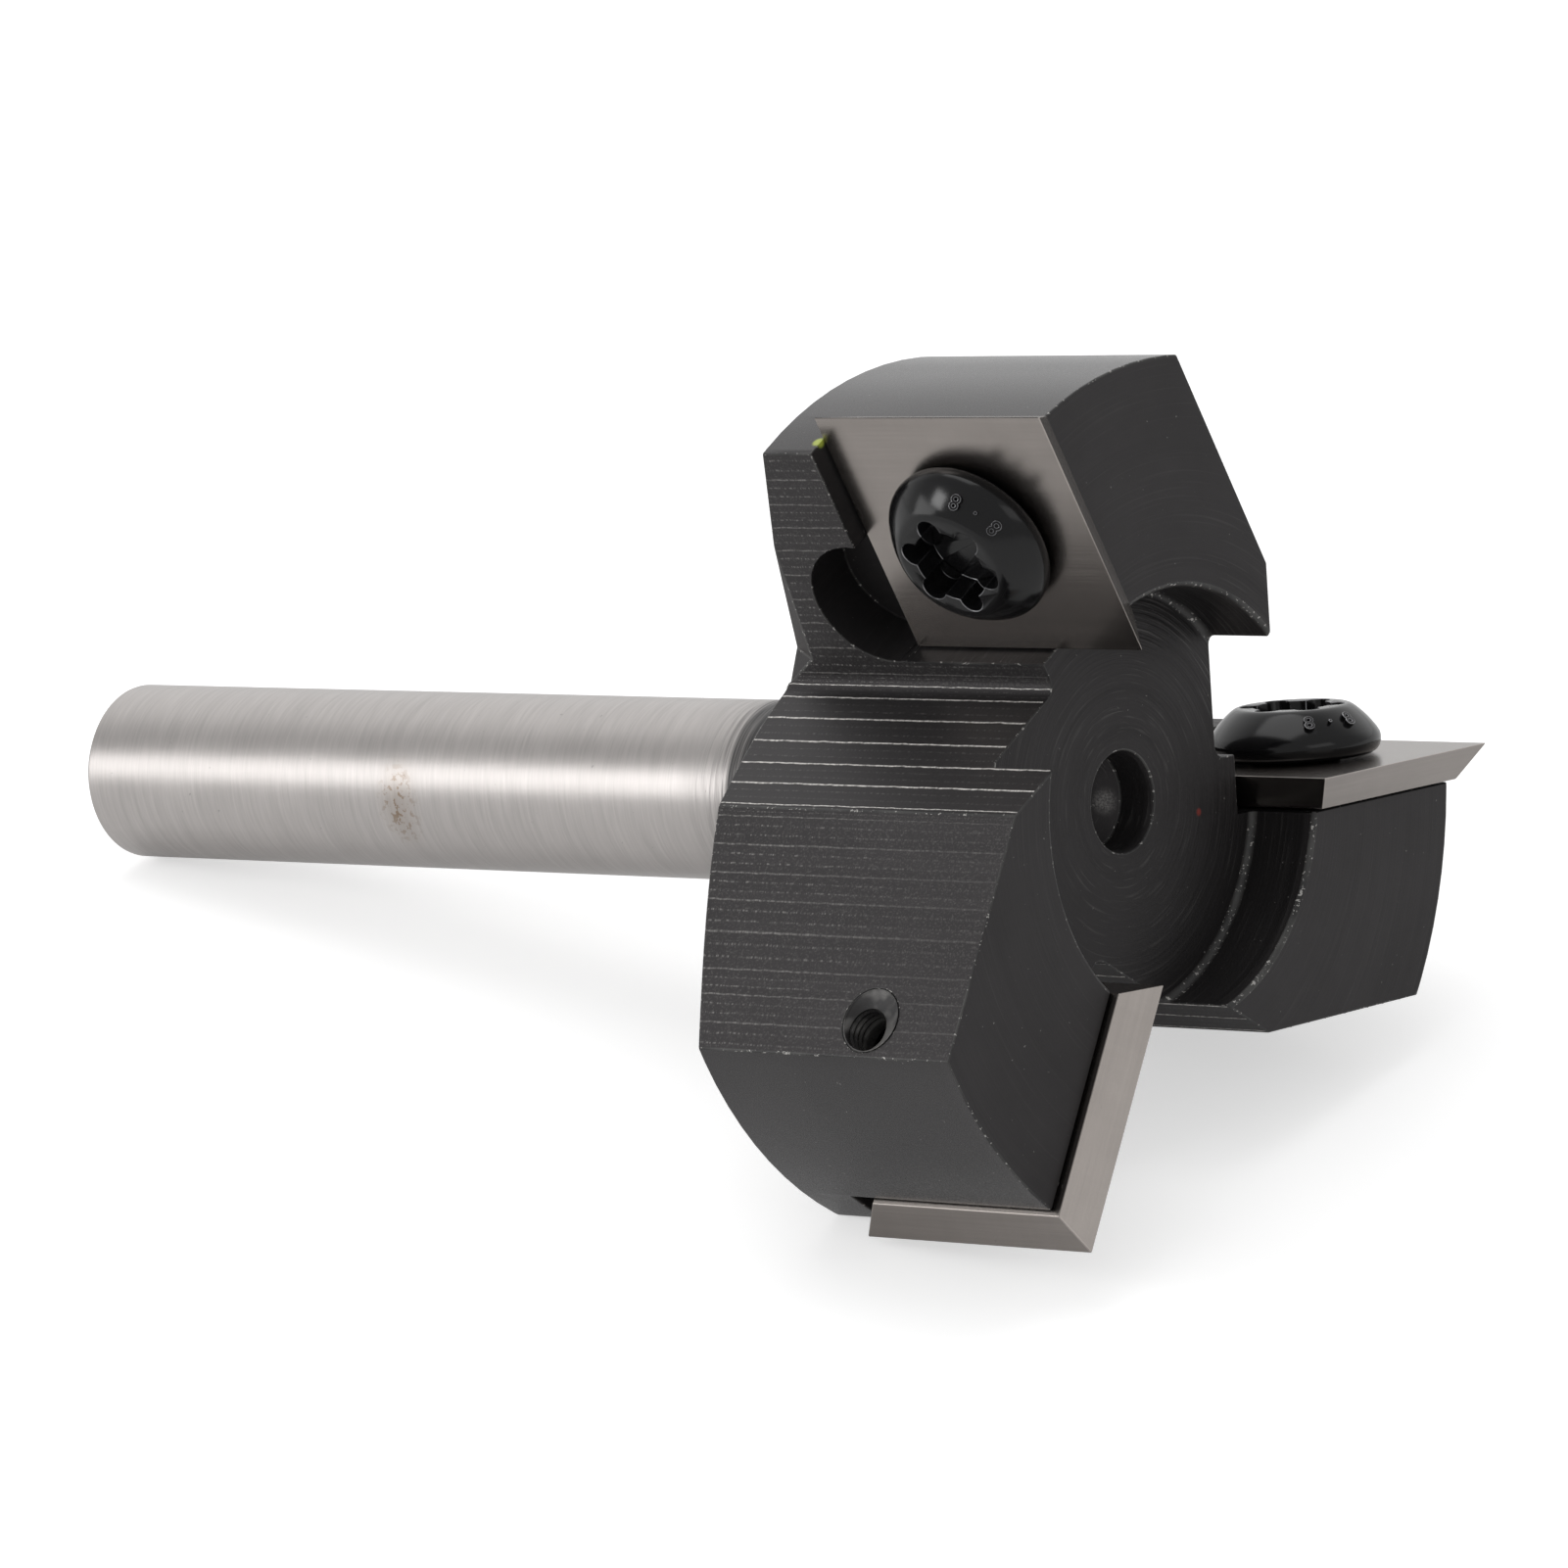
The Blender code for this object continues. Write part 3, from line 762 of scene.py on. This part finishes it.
def ground_carbide(look, name, gain):
    """Satin ground carbide with straight grinding marks; the strip along its edges is a lighter copy, as
    painted highlight.
    """
    grey = look.carbide_colour
    material, place = tool_material(name, shaded(grey))
    marks = put(material.node_tree, "ShaderNodeUVMap", uv_map="Grinding").outputs["UV"]
    lines = streaks(marks, (110.0, 1.6, 1.0), 3.0, 0.6)
    broad = streaks(marks, (14.0, 0.9, 1.0), 2.0, 0.5)
    crossed = streaks(marks, (2.5, 32.0, 1.0), 2.0, 0.5)
    tone = reckon("ADD", times(lines, 0.4), times(broad, 0.25))
    tone = scaled(crossed, 0.1, tone)
    tone = scaled(grain(place, 0.035 * MM)["Clouds"], 0.25, tone)
    colour = varied(fit_range(tone, 0.38, 0.62), grey, 0.93 * gain, 1.07 * gain)
    pits = specks(place, 0.25 * MM, 0.26)
    return finish(
        material,
        Base_Color=painted(colour, (pits, 0.45, shaded(grey, 0.4))),
        Metallic=1.0,
        Roughness=scaled(lines, 0.06, look.carbide_roughness - 0.03),
        Normal=raised(lines, 0.0014 * MM, 0.5),
    )


def black_screw(look):
    """Glossy black oxide on hardened steel, a little uneven."""
    black = look.screw_colour
    material, place = tool_material("Black screw", shaded(black))
    fine, clouds = grain(place, 0.05 * MM)
    rubbed = specks(place, 0.3 * MM, 0.3)
    low = raised(clouds, 0.02 * MM, 0.5)
    return finish(
        material,
        Base_Color=painted(shaded(black), (rubbed, 0.4, shaded(black, 4.0))),
        Roughness=scaled(clouds, 0.16, look.screw_roughness - 0.08),
        Specular_IOR_Level=0.34,
        Normal=raised(fine, 0.002 * MM, 0.5, low),
    )


def rubbed_rim_and_glints(look):
    """Black rubbed bright along the edges of the drive, the flat and the raised marks: partly real wear,
    partly painted highlight for glints.
    """
    material, place = tool_material("Screw, polished rim", (0.2, 0.2, 0.21, 1.0))
    share = fit_range(grain(place, 0.04 * MM)["Clouds"], 0.35, 0.6)
    colour = blend(share, shaded(look.screw_colour, 6.0), RUBBED_GLINT_GREY)
    return finish(material, Base_Color=colour, Metallic=0.9, Roughness=0.22)


def pale_floor(look):
    """A white floor that keeps the shadow, and shows as white where it is seen directly."""
    material = new_material("Pale floor", shaded(look.floor_colour))
    seen, mirrored = ray_kinds(material.node_tree)
    shown = scaled(mirrored, look.floor_gloss, seen)
    return finish(
        material,
        Base_Color=shaded(look.floor_colour),
        Roughness=0.9,
        Specular_IOR_Level=0.0,
        Emission_Color=blend(shown, BLACK, WHITE),
        Emission_Strength=look.floor_lift,
    )


# The body


def gullet_walls(placing):
    """A gullet's milled walls: for each a point, the way it faces, the way along it and its start."""
    step = math.tau / WINGS
    out, ahead = Vector((1.0, 0.0, 0.0)), Vector((0.0, 1.0, 0.0))
    next_out = Vector((math.cos(step), math.sin(step), 0.0))
    next_back = Vector((math.sin(step), -math.cos(step), 0.0))
    behind = next_back * TRAILING_FACE
    inner = Vector((GULLET_FLOOR, LEADING_FACE, 0.0))
    corner = next_out * ((GULLET_FLOOR - behind.x) / next_out.x) + behind
    turn = placing.to_3x3()
    for spot, facing, along, start in (
        (inner, ahead, -out, 0.0),
        (inner, out, ahead, 0.0),
        (corner, next_back, next_out, (corner - inner).y),
    ):
        yield placing @ spot, turn @ facing, turn @ along, start


def fillet_share(back, point):
    """How far along the gullet a point of its rounded inner corner lies."""
    spot = back @ point
    return spot.y - LEADING_FACE - (spot.x - GULLET_FLOOR)


def in_fillet(back, face):
    """Tells a face of the gullet's rounded inner corner."""
    spot = back @ face.center
    facing = back.to_3x3() @ face.normal
    near = all(-PLANE_SLACK < off < GULLET_FILLET for off in (spot.x - GULLET_FLOOR, spot.y - LEADING_FACE))
    return near and abs(facing.z) < UPRIGHT and min(facing.x, facing.y) > AWAY


def unroll(mesh, marks, face, share):
    """Lays the milling pattern on a face: along the gullet, and down the tool."""
    back = LIE.inverted()
    for loop in face.loop_indices:
        point = mesh.vertices[mesh.loops[loop].vertex_index].co
        along = (share(point) / MM - CREST_START) / CREST_SPAN
        marks.data[loop].uv = (along, -(back @ point).z / MILLING_HEIGHT)


def in_bore(place):
    """Tells a place of a seat that lies in the threaded sleeve behind the wing."""
    return math.hypot(place.x, place.y) < THREAD_REACH and THREAD_MOUTH < place.z < THREAD_TOP


def at_seat(place):
    """Tells a place of a seat that lies along the seat's rim."""
    inside = max(abs(place.x), abs(place.y)) < INSERT_SIDE / 2 + SEAT_ROOM
    return inside and abs(place.z - SEAT_LEVEL) < EDGE_REACH


def sort_body_faces(piece):
    """Gives each face its finish, unrolls the milled walls, and lists the faces of each wall."""
    back = LIE.inverted()
    mesh = piece.data
    marks = mesh.uv_layers.new(name="Milling")
    placings = [LIE @ wing_turn(index) for index in range(WINGS)]
    wing_backs = [placing.inverted() for placing in placings]
    walls = [wall for placing in placings for wall in gullet_walls(placing)]
    seats = [seat_frame(index).inverted() for index in range(WINGS)]
    members = [[] for _ in walls]
    for face in mesh.polygons:
        spot = back @ face.center
        radius = math.hypot(spot.x, spot.y)
        places = [seat @ face.center for seat in seats]
        if spot.z < -NECK_DEPTH and radius < NECK_RADIUS:
            face.material_index = SHANK
            continue
        if any(map(in_bore, places)):
            face.material_index = THREAD
            continue
        on_chamfer = RECESS_RADIUS < radius < RECESS_RADIUS + RIM_CHAMFER and -RIM_CHAMFER < spot.z < 0.0
        if on_chamfer or face.material_index == WORN:
            # the seat's rim under an insert is painted near black as its shadow
            under_insert = any(map(at_seat, places)) and not on_chamfer
            face.material_index = SHADED_SEAT_EDGE if under_insert else WORN
            continue
        face.material_index = TURNED
        for place, (origin, facing, along, start) in enumerate(walls):
            off = (face.center - origin).dot(facing)
            if face.normal.dot(facing) > SAME_WAY and abs(off) < PLANE_SLACK:
                face.material_index = MILLED
                members[place].append(face.index)
                unroll(mesh, marks, face, lambda point: (point - origin).dot(along) + start)
        for wing_back in wing_backs:
            if in_fillet(wing_back, face):
                face.material_index = MILLED
                unroll(mesh, marks, face, lambda point: fillet_share(wing_back, point))
    return walls, members


def raise_crests(piece, walls, members, height, width):
    """Cuts three lines along each crest between milling passes and lifts the middle one."""
    mesh = piece.data
    for place, faces in enumerate(members):
        mesh.materials.append(None)
        for face in faces:
            mesh.polygons[face].material_index = THREAD + 1 + place
    open_mesh(piece)
    bpy.ops.mesh.select_mode(type="VERT")
    for place, (origin, facing, along, start) in enumerate(walls):
        low, high = ((CREST_START - 1.0, 0.0), FLOOR_ENDS, (FLOOR_ENDS[1], CREST_SPAN))[place % 3]
        piece.active_material_index = THREAD + 1 + place
        for spot in CREST_PLACES:
            if not low + CREST_ROOM < spot < high - CREST_ROOM:
                continue
            for aside in (-width, width, 0.0):
                bpy.ops.mesh.select_all(action="DESELECT")
                bpy.ops.object.material_slot_select()
                middle = origin + along * (spot * MM - start + aside)
                bpy.ops.mesh.bisect(plane_co=middle, plane_no=along, threshold=CUT_SLACK)
            bpy.ops.transform.translate(value=facing * height)
    close_mesh()
    for face in mesh.polygons:
        if face.material_index > THREAD:
            face.material_index = MILLED
    for _ in members:
        mesh.materials.pop(index=THREAD + 1)


def drawn_up(name, rings, steps, hollow=False):
    """A circle drawn from ring to ring, then closed: a solid, or a sleeve that meets its start."""
    pick(None)
    radius, height, shift = (size * MM for size in rings[0])
    fill = "NOTHING" if hollow else "NGON"
    middle = (0.0, 0.0, height)
    bpy.ops.mesh.primitive_circle_add(vertices=steps, radius=radius, fill_type=fill, location=middle)
    piece = bpy.context.object
    piece.name = name
    settle(piece, piece.matrix_world)
    open_mesh(piece)
    for ring in rings[1:]:
        next_radius, next_height, next_shift = (size * MM for size in ring)
        move = (next_shift - shift, 0.0, next_height - height)
        bpy.ops.mesh.extrude_region_move(TRANSFORM_OT_translate={"value": move})
        grow = next_radius / radius
        bpy.ops.transform.resize(value=(grow, grow, 1.0), center_override=(next_shift, 0.0, next_height))
        radius, height, shift = next_radius, next_height, next_shift
    bpy.ops.mesh.select_all(action="SELECT")
    if hollow:
        bpy.ops.mesh.remove_doubles(threshold=MERGE)
    bpy.ops.mesh.normals_make_consistent(inside=False)
    close_mesh()
    return piece


def combine(piece, other, operation):
    """Joins the other mesh to the piece, or cuts it away, and removes it."""
    change = piece.modifiers.new(other.name, "BOOLEAN")
    change.solver = "EXACT"
    change.operation = operation
    change.object = other
    apply_modifiers(piece)
    bpy.data.objects.remove(other)


def line_threads(body):
    """Puts a threaded sleeve with a broken mouth in the hole behind each wing."""
    for index in range(WINGS):
        sleeve = drawn_up(f"thread_sleeve_{index + 1}", THREAD_RINGS, THREAD_STEPS, hollow=True)
        settle(sleeve, seat_frame(index) @ Matrix.Rotation(THREAD_TURN, 4, "Z"))
        combine(body, sleeve, "UNION")
    open_mesh(body)
    bpy.ops.mesh.remove_doubles(threshold=0.25 * MERGE)
    close_mesh()


def round_recess(body):
    """Rounds the corner between the recess's floor and its wall."""
    back = LIE.inverted()
    at_corner = []
    for vertex in body.data.vertices:
        spot = back @ vertex.co
        offs = (math.hypot(spot.x, spot.y) - RECESS_RADIUS, spot.z + RECESS_DEPTH)
        at_corner.append(max(map(abs, offs)) < PLANE_SLACK)
    weights = body.data.attributes.new("bevel_weight_edge", "FLOAT", "EDGE")
    for edge in body.data.edges:
        weights.data[edge.index].value = float(all(at_corner[vertex] for vertex in edge.vertices))
    bevel_edges(body, "Rounded recess", RECESS_ROUNDING, 4, WORN)


# Settings


def tint(name, about, colour):
    return FloatVectorProperty(
        name=name, description=about, subtype="COLOR", size=3, min=0.0, max=1.0, default=colour
    )


def part_of_one(name, about, amount):
    return FloatProperty(name=name, description=about, subtype="FACTOR", min=0.0, max=1.0, default=amount)


def length(name, about, low, high, size):
    """A length, given in millimetres and kept in metres."""
    return FloatProperty(
        name=name, description=about, subtype="DISTANCE", unit="LENGTH",
        min=low * MM, max=high * MM, default=size * MM,
    )


def wattage(name, about, high, power):
    return FloatProperty(name=name, description=about, unit="POWER", min=0.0, max=high, default=power)


class RouterBitBody(bpy.types.PropertyGroup):
    oxide_colour: tint("Black oxide", "Colour of the blackened steel", (0.0145, 0.0136, 0.0139))
    oxide_roughness: part_of_one("Oxide roughness", "How matt the blackened steel is", 0.5)
    rim_roughness: part_of_one("Rim roughness", "How matt the smoother outside of the wings is", 0.28)
    rim_sheen: part_of_one("Rim sheen", "How much more the outside of the wings shines", 0.32)
    ring_height: length("Ring height", "How deep the turning marks look", 0.0, 0.1, 0.023)
    shank_colour: tint("Ground steel", "Colour of the bright shank", (0.475, 0.45, 0.437))
    shank_roughness: part_of_one("Shank roughness", "How matt the ground shank is", 0.32)
    crest_colour: tint("Worn steel", "Colour of the bare steel on crests and nicks", (0.72, 0.7, 0.67))
    crest_height: length("Crest height", "How far the crests between passes stand up", 0.0, 0.2, 0.018)
    crest_width: length("Crest width", "Half the width of the crests between passes", 0.01, 0.2, 0.05)
    edge_width: length("Broken edge", "Width of the bevel along the body's edges", 0.01, 0.3, 0.07)


class RouterBitInserts(bpy.types.PropertyGroup):
    carbide_colour: tint("Carbide", "Colour of the ground carbide", (0.31, 0.283, 0.264))
    carbide_roughness: part_of_one("Roughness", "How matt the ground carbide is", 0.25)
    edge_highlight_gain: FloatProperty(
        name="Edge painted highlight", description="How much brighter than the faces the edges are",
        min=1.0, max=3.0, default=1.35,
    )
    edge_width: length("Edge strip", "Width of the bright strip along an insert's edges", 0.005, 0.2, 0.05)


class RouterBitScrews(bpy.types.PropertyGroup):
    screw_colour: tint("Screw black", "Colour of the screws", (0.005, 0.005, 0.0055))
    screw_roughness: part_of_one("Roughness", "How matt the screws are", 0.15)
    edge_width: length("Rounded edge", "Width of the rounding along drive and rims", 0.005, 0.2, 0.035)
    marks: StringProperty(
        name="Raised marks", description="Generic strength marks raised on the head", default="8.8"
    )


class RouterBitStage(bpy.types.PropertyGroup):
    floor_colour: tint("Floor", "Colour of the floor", (0.7, 0.7, 0.7))
    floor_lift: part_of_one("Floor lift", "White added where the floor is seen, over the light on it", 0.55)
    floor_gloss: part_of_one("Floor in reflections", "Share of the lift that shows in reflections", 0.26)
    ambient: FloatProperty(
        name="Ambient light", description="Strength of the even light from all round",
        min=0.0, max=2.0, default=0.62,
    )
    room_level: part_of_one("Room in reflections", "How bright the room shows in shiny things", 0.5)
    key_power: wattage("Key light", "Power of the soft light at the camera's left", 20.0, 0.39)
    side_power: wattage("Side light", "Power of the small light above the soft one", 20.0, 0.5)
    right_power: wattage("Right light", "Power of the dim wide light at the camera's right", 20.0, 0.17)
    top_power: wattage("Top light", "Power of the wide light overhead", 50.0, 1.8)
    lens: FloatProperty(
        name="Lens", description="Focal length of the camera in millimetres",
        subtype="DISTANCE_CAMERA", min=20.0, max=400.0, default=204.5746,
    )


# Operators


class ROUTERBIT_OT_dress_body(bpy.types.Operator):
    """Copy the body's solid, break its edges and give each face its finish"""

    bl_idname = "routerbit.dress_body"
    bl_label = "Dress Body"

    def execute(self, context):
        look = context.scene.router_bit_body
        body = whole_copy("cutter_body", "body_finished")
        line_threads(body)
        finishes = (turned_oxide, milled_oxide, ground_shank, worn_edge, shaded_seat_edge, bare_thread)
        give(body, [made(look) for made in finishes])
        round_recess(body)
        bevel_edges(body, "Broken edges", look.edge_width, 2, WORN, SHARP_ANGLE)
        walls, members = sort_body_faces(body)
        raise_crests(body, walls, members, look.crest_height, look.crest_width)
        flatten_light(body)
        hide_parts("cutter_body")
        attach(body, "root")
        return {"FINISHED"}


class ROUTERBIT_OT_dress_inserts(bpy.types.Operator):
    """Copy the inserts' solids, bevel their edge strips and give them ground carbide, the strips painted
    lighter as highlight and the outer cutting edge painted dark as shade
    """

    bl_idname = "routerbit.dress_inserts"
    bl_label = "Dress Inserts"

    def execute(self, context):
        look = context.scene.router_bit_inserts
        finishes = (
            ground_carbide(look, "Ground carbide", 1.0),
            # painted highlight: the edge strips take a lighter copy of the carbide
            ground_carbide(look, "Ground carbide, edge", look.edge_highlight_gain),
            shaded_cutting_edge(look),
        )
        for index in range(WINGS):
            insert = whole_copy(f"insert_{index + 1}", f"insert_{index + 1}_finished")
            give(insert, finishes)
            bevel_edges(insert, "Edge strips", look.edge_width, 2, LIGHTER_STRIP, SHARP_ANGLE)
            back = seat_frame(index).inverted()
            self.paint_cutting_shade(insert, back)
            flatten_light(insert)
            self.unroll(insert, back)
            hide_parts(f"insert_{index + 1}")
            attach(insert, "root")
        return {"FINISHED"}

    def paint_cutting_shade(self, insert, back):
        """Gives the strip along the outer cutting edge its finish of painted shade."""
        for face in insert.data.polygons:
            facing = back.to_3x3() @ face.normal
            outward = facing.x > SLANT and abs(facing.y) < SLANT
            if face.material_index == LIGHTER_STRIP and outward and (back @ face.center).z > -CUTTING_REACH:
                face.material_index = SHADED_CUTTING

    def unroll(self, insert, back):
        """Lays the grinding marks along each face's longer way."""
        marks = insert.data.uv_layers.new(name="Grinding")
        for face in insert.data.polygons:
            facing = back.to_3x3() @ face.normal
            for loop in face.loop_indices:
                spot = back @ insert.data.vertices[insert.data.loops[loop].vertex_index].co
                if abs(facing.z) > LEVEL:
                    place = (spot.x, spot.y)
                elif abs(facing.x) > abs(facing.y):
                    place = (spot.z + INSERT_SIDE, spot.y)
                else:
                    place = (spot.z - INSERT_SIDE, spot.x)
                marks.data[loop].uv = (place[0] / INSERT_SIDE, place[1] / INSERT_SIDE)


class ROUTERBIT_OT_make_screws(bpy.types.Operator):
    """Model one button-head screw with its six-lobe drive, and set a copy in each insert"""

    bl_idname = "routerbit.make_screws"
    bl_label = "Make Screws"

    def execute(self, context):
        look = context.scene.router_bit_screws
        pattern_screw = drawn_up("screw_pattern", SCREW_RINGS, RING_STEPS)
        self.cut_drive(pattern_screw)
        materials = (black_screw(look), rubbed_rim_and_glints(look))
        give(pattern_screw, materials)
        bevel_edges(pattern_screw, "Rounded edges", look.edge_width, 3, POLISHED_GLINT_SLOT, SCREW_SHARP_ANGLE)
        for place, letter in enumerate(look.marks):
            turn = MARK_MIDDLE + (place - (len(look.marks) - 1) / 2) * MARK_STEP
            combine(pattern_screw, self.raised_mark(letter, turn, materials), "UNION")
        pick(pattern_screw)
        bpy.ops.object.shade_smooth_by_angle(angle=SCREW_SMOOTH_ANGLE)
        for index in range(WINGS):
            screw = placed(f"insert_screw_{index + 1}_finished", pattern_screw.data.copy())
            place = seat_frame(index) @ Matrix.Translation((0.0, 0.0, SEAT_GAP))
            settle(screw, place @ Matrix.Rotation(SCREW_TURNS[index], 4, "Z"))
            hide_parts(f"insert_screw_{index + 1}")
            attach(screw, "root")
        bpy.data.objects.remove(pattern_screw)
        return {"FINISHED"}

    def cut_drive(self, blank):
        """The six-lobe drive: a round core, and one lobe turned into six about the middle."""
        depth = 2 * HEAD_TOP - DRIVE_FLOOR
        for name, steps, radius, aside in (
            ("drive_core", RING_STEPS, DRIVE_CORE_RADIUS, 0.0),
            ("drive_lobes", LOBE_STEPS, LOBE_RADIUS, LOBE_MIDDLE),
        ):
            pick(None)
            bpy.ops.mesh.primitive_cylinder_add(
                vertices=steps, radius=radius, depth=depth, location=(aside, 0.0, DRIVE_FLOOR + depth / 2)
            )
            cutter = bpy.context.object
            cutter.name = name
            settle(cutter, cutter.matrix_world)
            if aside:
                self.spin_lobes(cutter)
            combine(blank, cutter, "DIFFERENCE")

    def spin_lobes(self, lobe):
        open_mesh(lobe)
        bpy.ops.mesh.spin(
            steps=LOBES - 1, dupli=True, angle=math.tau * (LOBES - 1) / LOBES,
            center=(0.0, 0.0, 0.0), axis=(0.0, 0.0, 1.0),
        )
        bpy.ops.mesh.select_all(action="SELECT")
        bpy.ops.mesh.normals_make_consistent(inside=False)
        close_mesh()

    def raised_mark(self, letter, turn, materials):
        """One generic mark, standing on the head's slope with its top towards the flat."""
        pick(None)
        bpy.ops.object.text_add(location=(0.0, 0.0, 0.0))
        mark = bpy.context.object
        mark.name = "raised_mark"
        mark.data.body = letter
        mark.data.size = MARK_SIZE
        mark.data.extrude = MARK_THICKNESS / 2
        mark.data.bevel_depth = MARK_ROUNDING
        mark.data.resolution_u = MARK_STEPS
        bpy.ops.object.convert(target="MESH")
        open_mesh(mark)
        bpy.ops.mesh.remove_doubles(threshold=MERGE)
        bpy.ops.mesh.normals_make_consistent(inside=False)
        close_mesh()
        mark.data.materials.clear()
        give(mark, materials)
        for face in mark.data.polygons:
            # the marks' rounded edges take the rubbed finish, partly painted highlight as glints
            on_rounding = SLANT < abs(face.normal.z) < MARK_LEVEL
            face.material_index = POLISHED_GLINT_SLOT if on_rounding else 0
        corners = [vertex.co.copy() for vertex in mark.data.vertices]
        middle = Vector([(min(axis) + max(axis)) / 2 for axis in zip(*corners)])
        across = Vector((0.0, 1.0, 0.0))
        out = Vector((math.sin(MARK_SLOPE), 0.0, math.cos(MARK_SLOPE)))
        upright = Matrix((across, out.cross(across), out)).transposed().to_4x4()
        place = Matrix.Rotation(turn, 4, "Z") @ Matrix.Translation((MARK_PLACE[0], 0.0, MARK_PLACE[1]))
        settle(mark, place @ upright @ Matrix.Translation(-middle))
        return mark


class ROUTERBIT_OT_set_stage(bpy.types.Operator):
    """Lay a pale floor, hang the soft lights and stand the camera where the photograph was taken"""

    bl_idname = "routerbit.set_stage"
    bl_label = "Set Stage"

    def execute(self, context):
        look = context.scene.router_bit_stage
        self.lay_floor(look)
        self.fill_world(context, look)
        for name, power, bearing, distance, size in LIGHTS:
            self.hang_light(name, bearing, distance, size, getattr(look, power))
        self.stand_camera(context, look)
        return {"FINISHED"}

    def lay_floor(self, look):
        pick(None)
        place = (0, 0, 0)
        bpy.ops.mesh.primitive_circle_add(vertices=64, radius=FLOOR_RADIUS, fill_type="NGON", location=place)
        floor = bpy.context.object
        floor.name = "floor"
        give(floor, [pale_floor(look)])

    def fill_world(self, context, look):
        """White where it is seen, an even light, and a dimmer room on the camera's side in reflections."""
        world = bpy.data.worlds.new("Soft surroundings")
        context.scene.world = world
        world.use_nodes = True
        tree = world.node_tree
        seen, mirrored = ray_kinds(tree)
        given = put(tree, "ShaderNodeTexCoord").outputs["Generated"]
        towards = vector_math("DOT_PRODUCT", given, BACKDROP_WAY)["Value"]
        room = fit_range(towards, *BACKDROP_EDGES, look.room_level, 1.0, smooth=True)
        level = blend(mirrored, look.ambient, room)
        feed_named(tree.nodes["Background"], Color=WHITE, Strength=blend(seen, level, 1.0))

    def hang_light(self, name, bearing, distance, size, power):
        """An area light at this azimuth and elevation in degrees, turned to the tool."""
        azimuth, elevation = (math.radians(angle) for angle in bearing)
        level = math.cos(elevation)
        towards = Vector((math.cos(azimuth) * level, math.sin(azimuth) * level, math.sin(elevation)))
        lamp = bpy.data.lights.new(name, "AREA")
        lamp.shape = "RECTANGLE"
        lamp.size, lamp.size_y = size
        lamp.energy = power
        holder = placed(name, lamp)
        holder.location = TOOL_MIDDLE + towards * distance
        holder.rotation_euler = towards.to_track_quat("Z", "Y").to_euler()

    def stand_camera(self, context, look):
        camera = bpy.data.cameras.new("Camera")
        camera.lens = look.lens
        camera.sensor_width = SENSOR_WIDTH
        camera.clip_start, camera.clip_end = CAMERA_REACH
        holder = placed("Camera", camera)
        holder.location = CAMERA_PLACE
        holder.rotation_euler = [math.radians(turn) for turn in CAMERA_TURN]
        context.scene.camera = holder
        context.scene.view_settings.view_transform = "Standard"


class ROUTERBIT_PT_sidebar(bpy.types.Panel):
    """Sizes and colours of the router bit, with a button for each group of pieces"""

    bl_idname = "ROUTERBIT_PT_sidebar"
    bl_label = "Router Bit"
    bl_space_type = "VIEW_3D"
    bl_region_type = "UI"
    bl_category = "Router Bit"

    def draw(self, context):
        for group, _, operator in GROUPS:
            settings = getattr(context.scene, group)
            box = self.layout.box()
            for name in settings.bl_rna.properties.keys():
                if name not in ("rna_type", "name"):
                    box.prop(settings, name)
            box.operator(operator.bl_idname)


# Each group's name in the scene, its settings and the operator that uses them
GROUPS = (
    ("router_bit_body", RouterBitBody, ROUTERBIT_OT_dress_body),
    ("router_bit_inserts", RouterBitInserts, ROUTERBIT_OT_dress_inserts),
    ("router_bit_screws", RouterBitScrews, ROUTERBIT_OT_make_screws),
    ("router_bit_stage", RouterBitStage, ROUTERBIT_OT_set_stage),
)

CLASSES = (*[made for _, *pair in GROUPS for made in pair], ROUTERBIT_PT_sidebar)


def register():
    for made in CLASSES:
        bpy.utils.register_class(made)
    for name, settings, _ in GROUPS:
        setattr(bpy.types.Scene, name, PointerProperty(type=settings))


def unregister():
    for name, _, _ in GROUPS:
        delattr(bpy.types.Scene, name)
    for made in reversed(CLASSES):
        bpy.utils.unregister_class(made)


def main():
    register()
    bpy.ops.routerbit.dress_body()
    bpy.ops.routerbit.dress_inserts()
    bpy.ops.routerbit.make_screws()
    bpy.ops.routerbit.set_stage()
    pick(None)


if __name__ == "__main__":
    main()
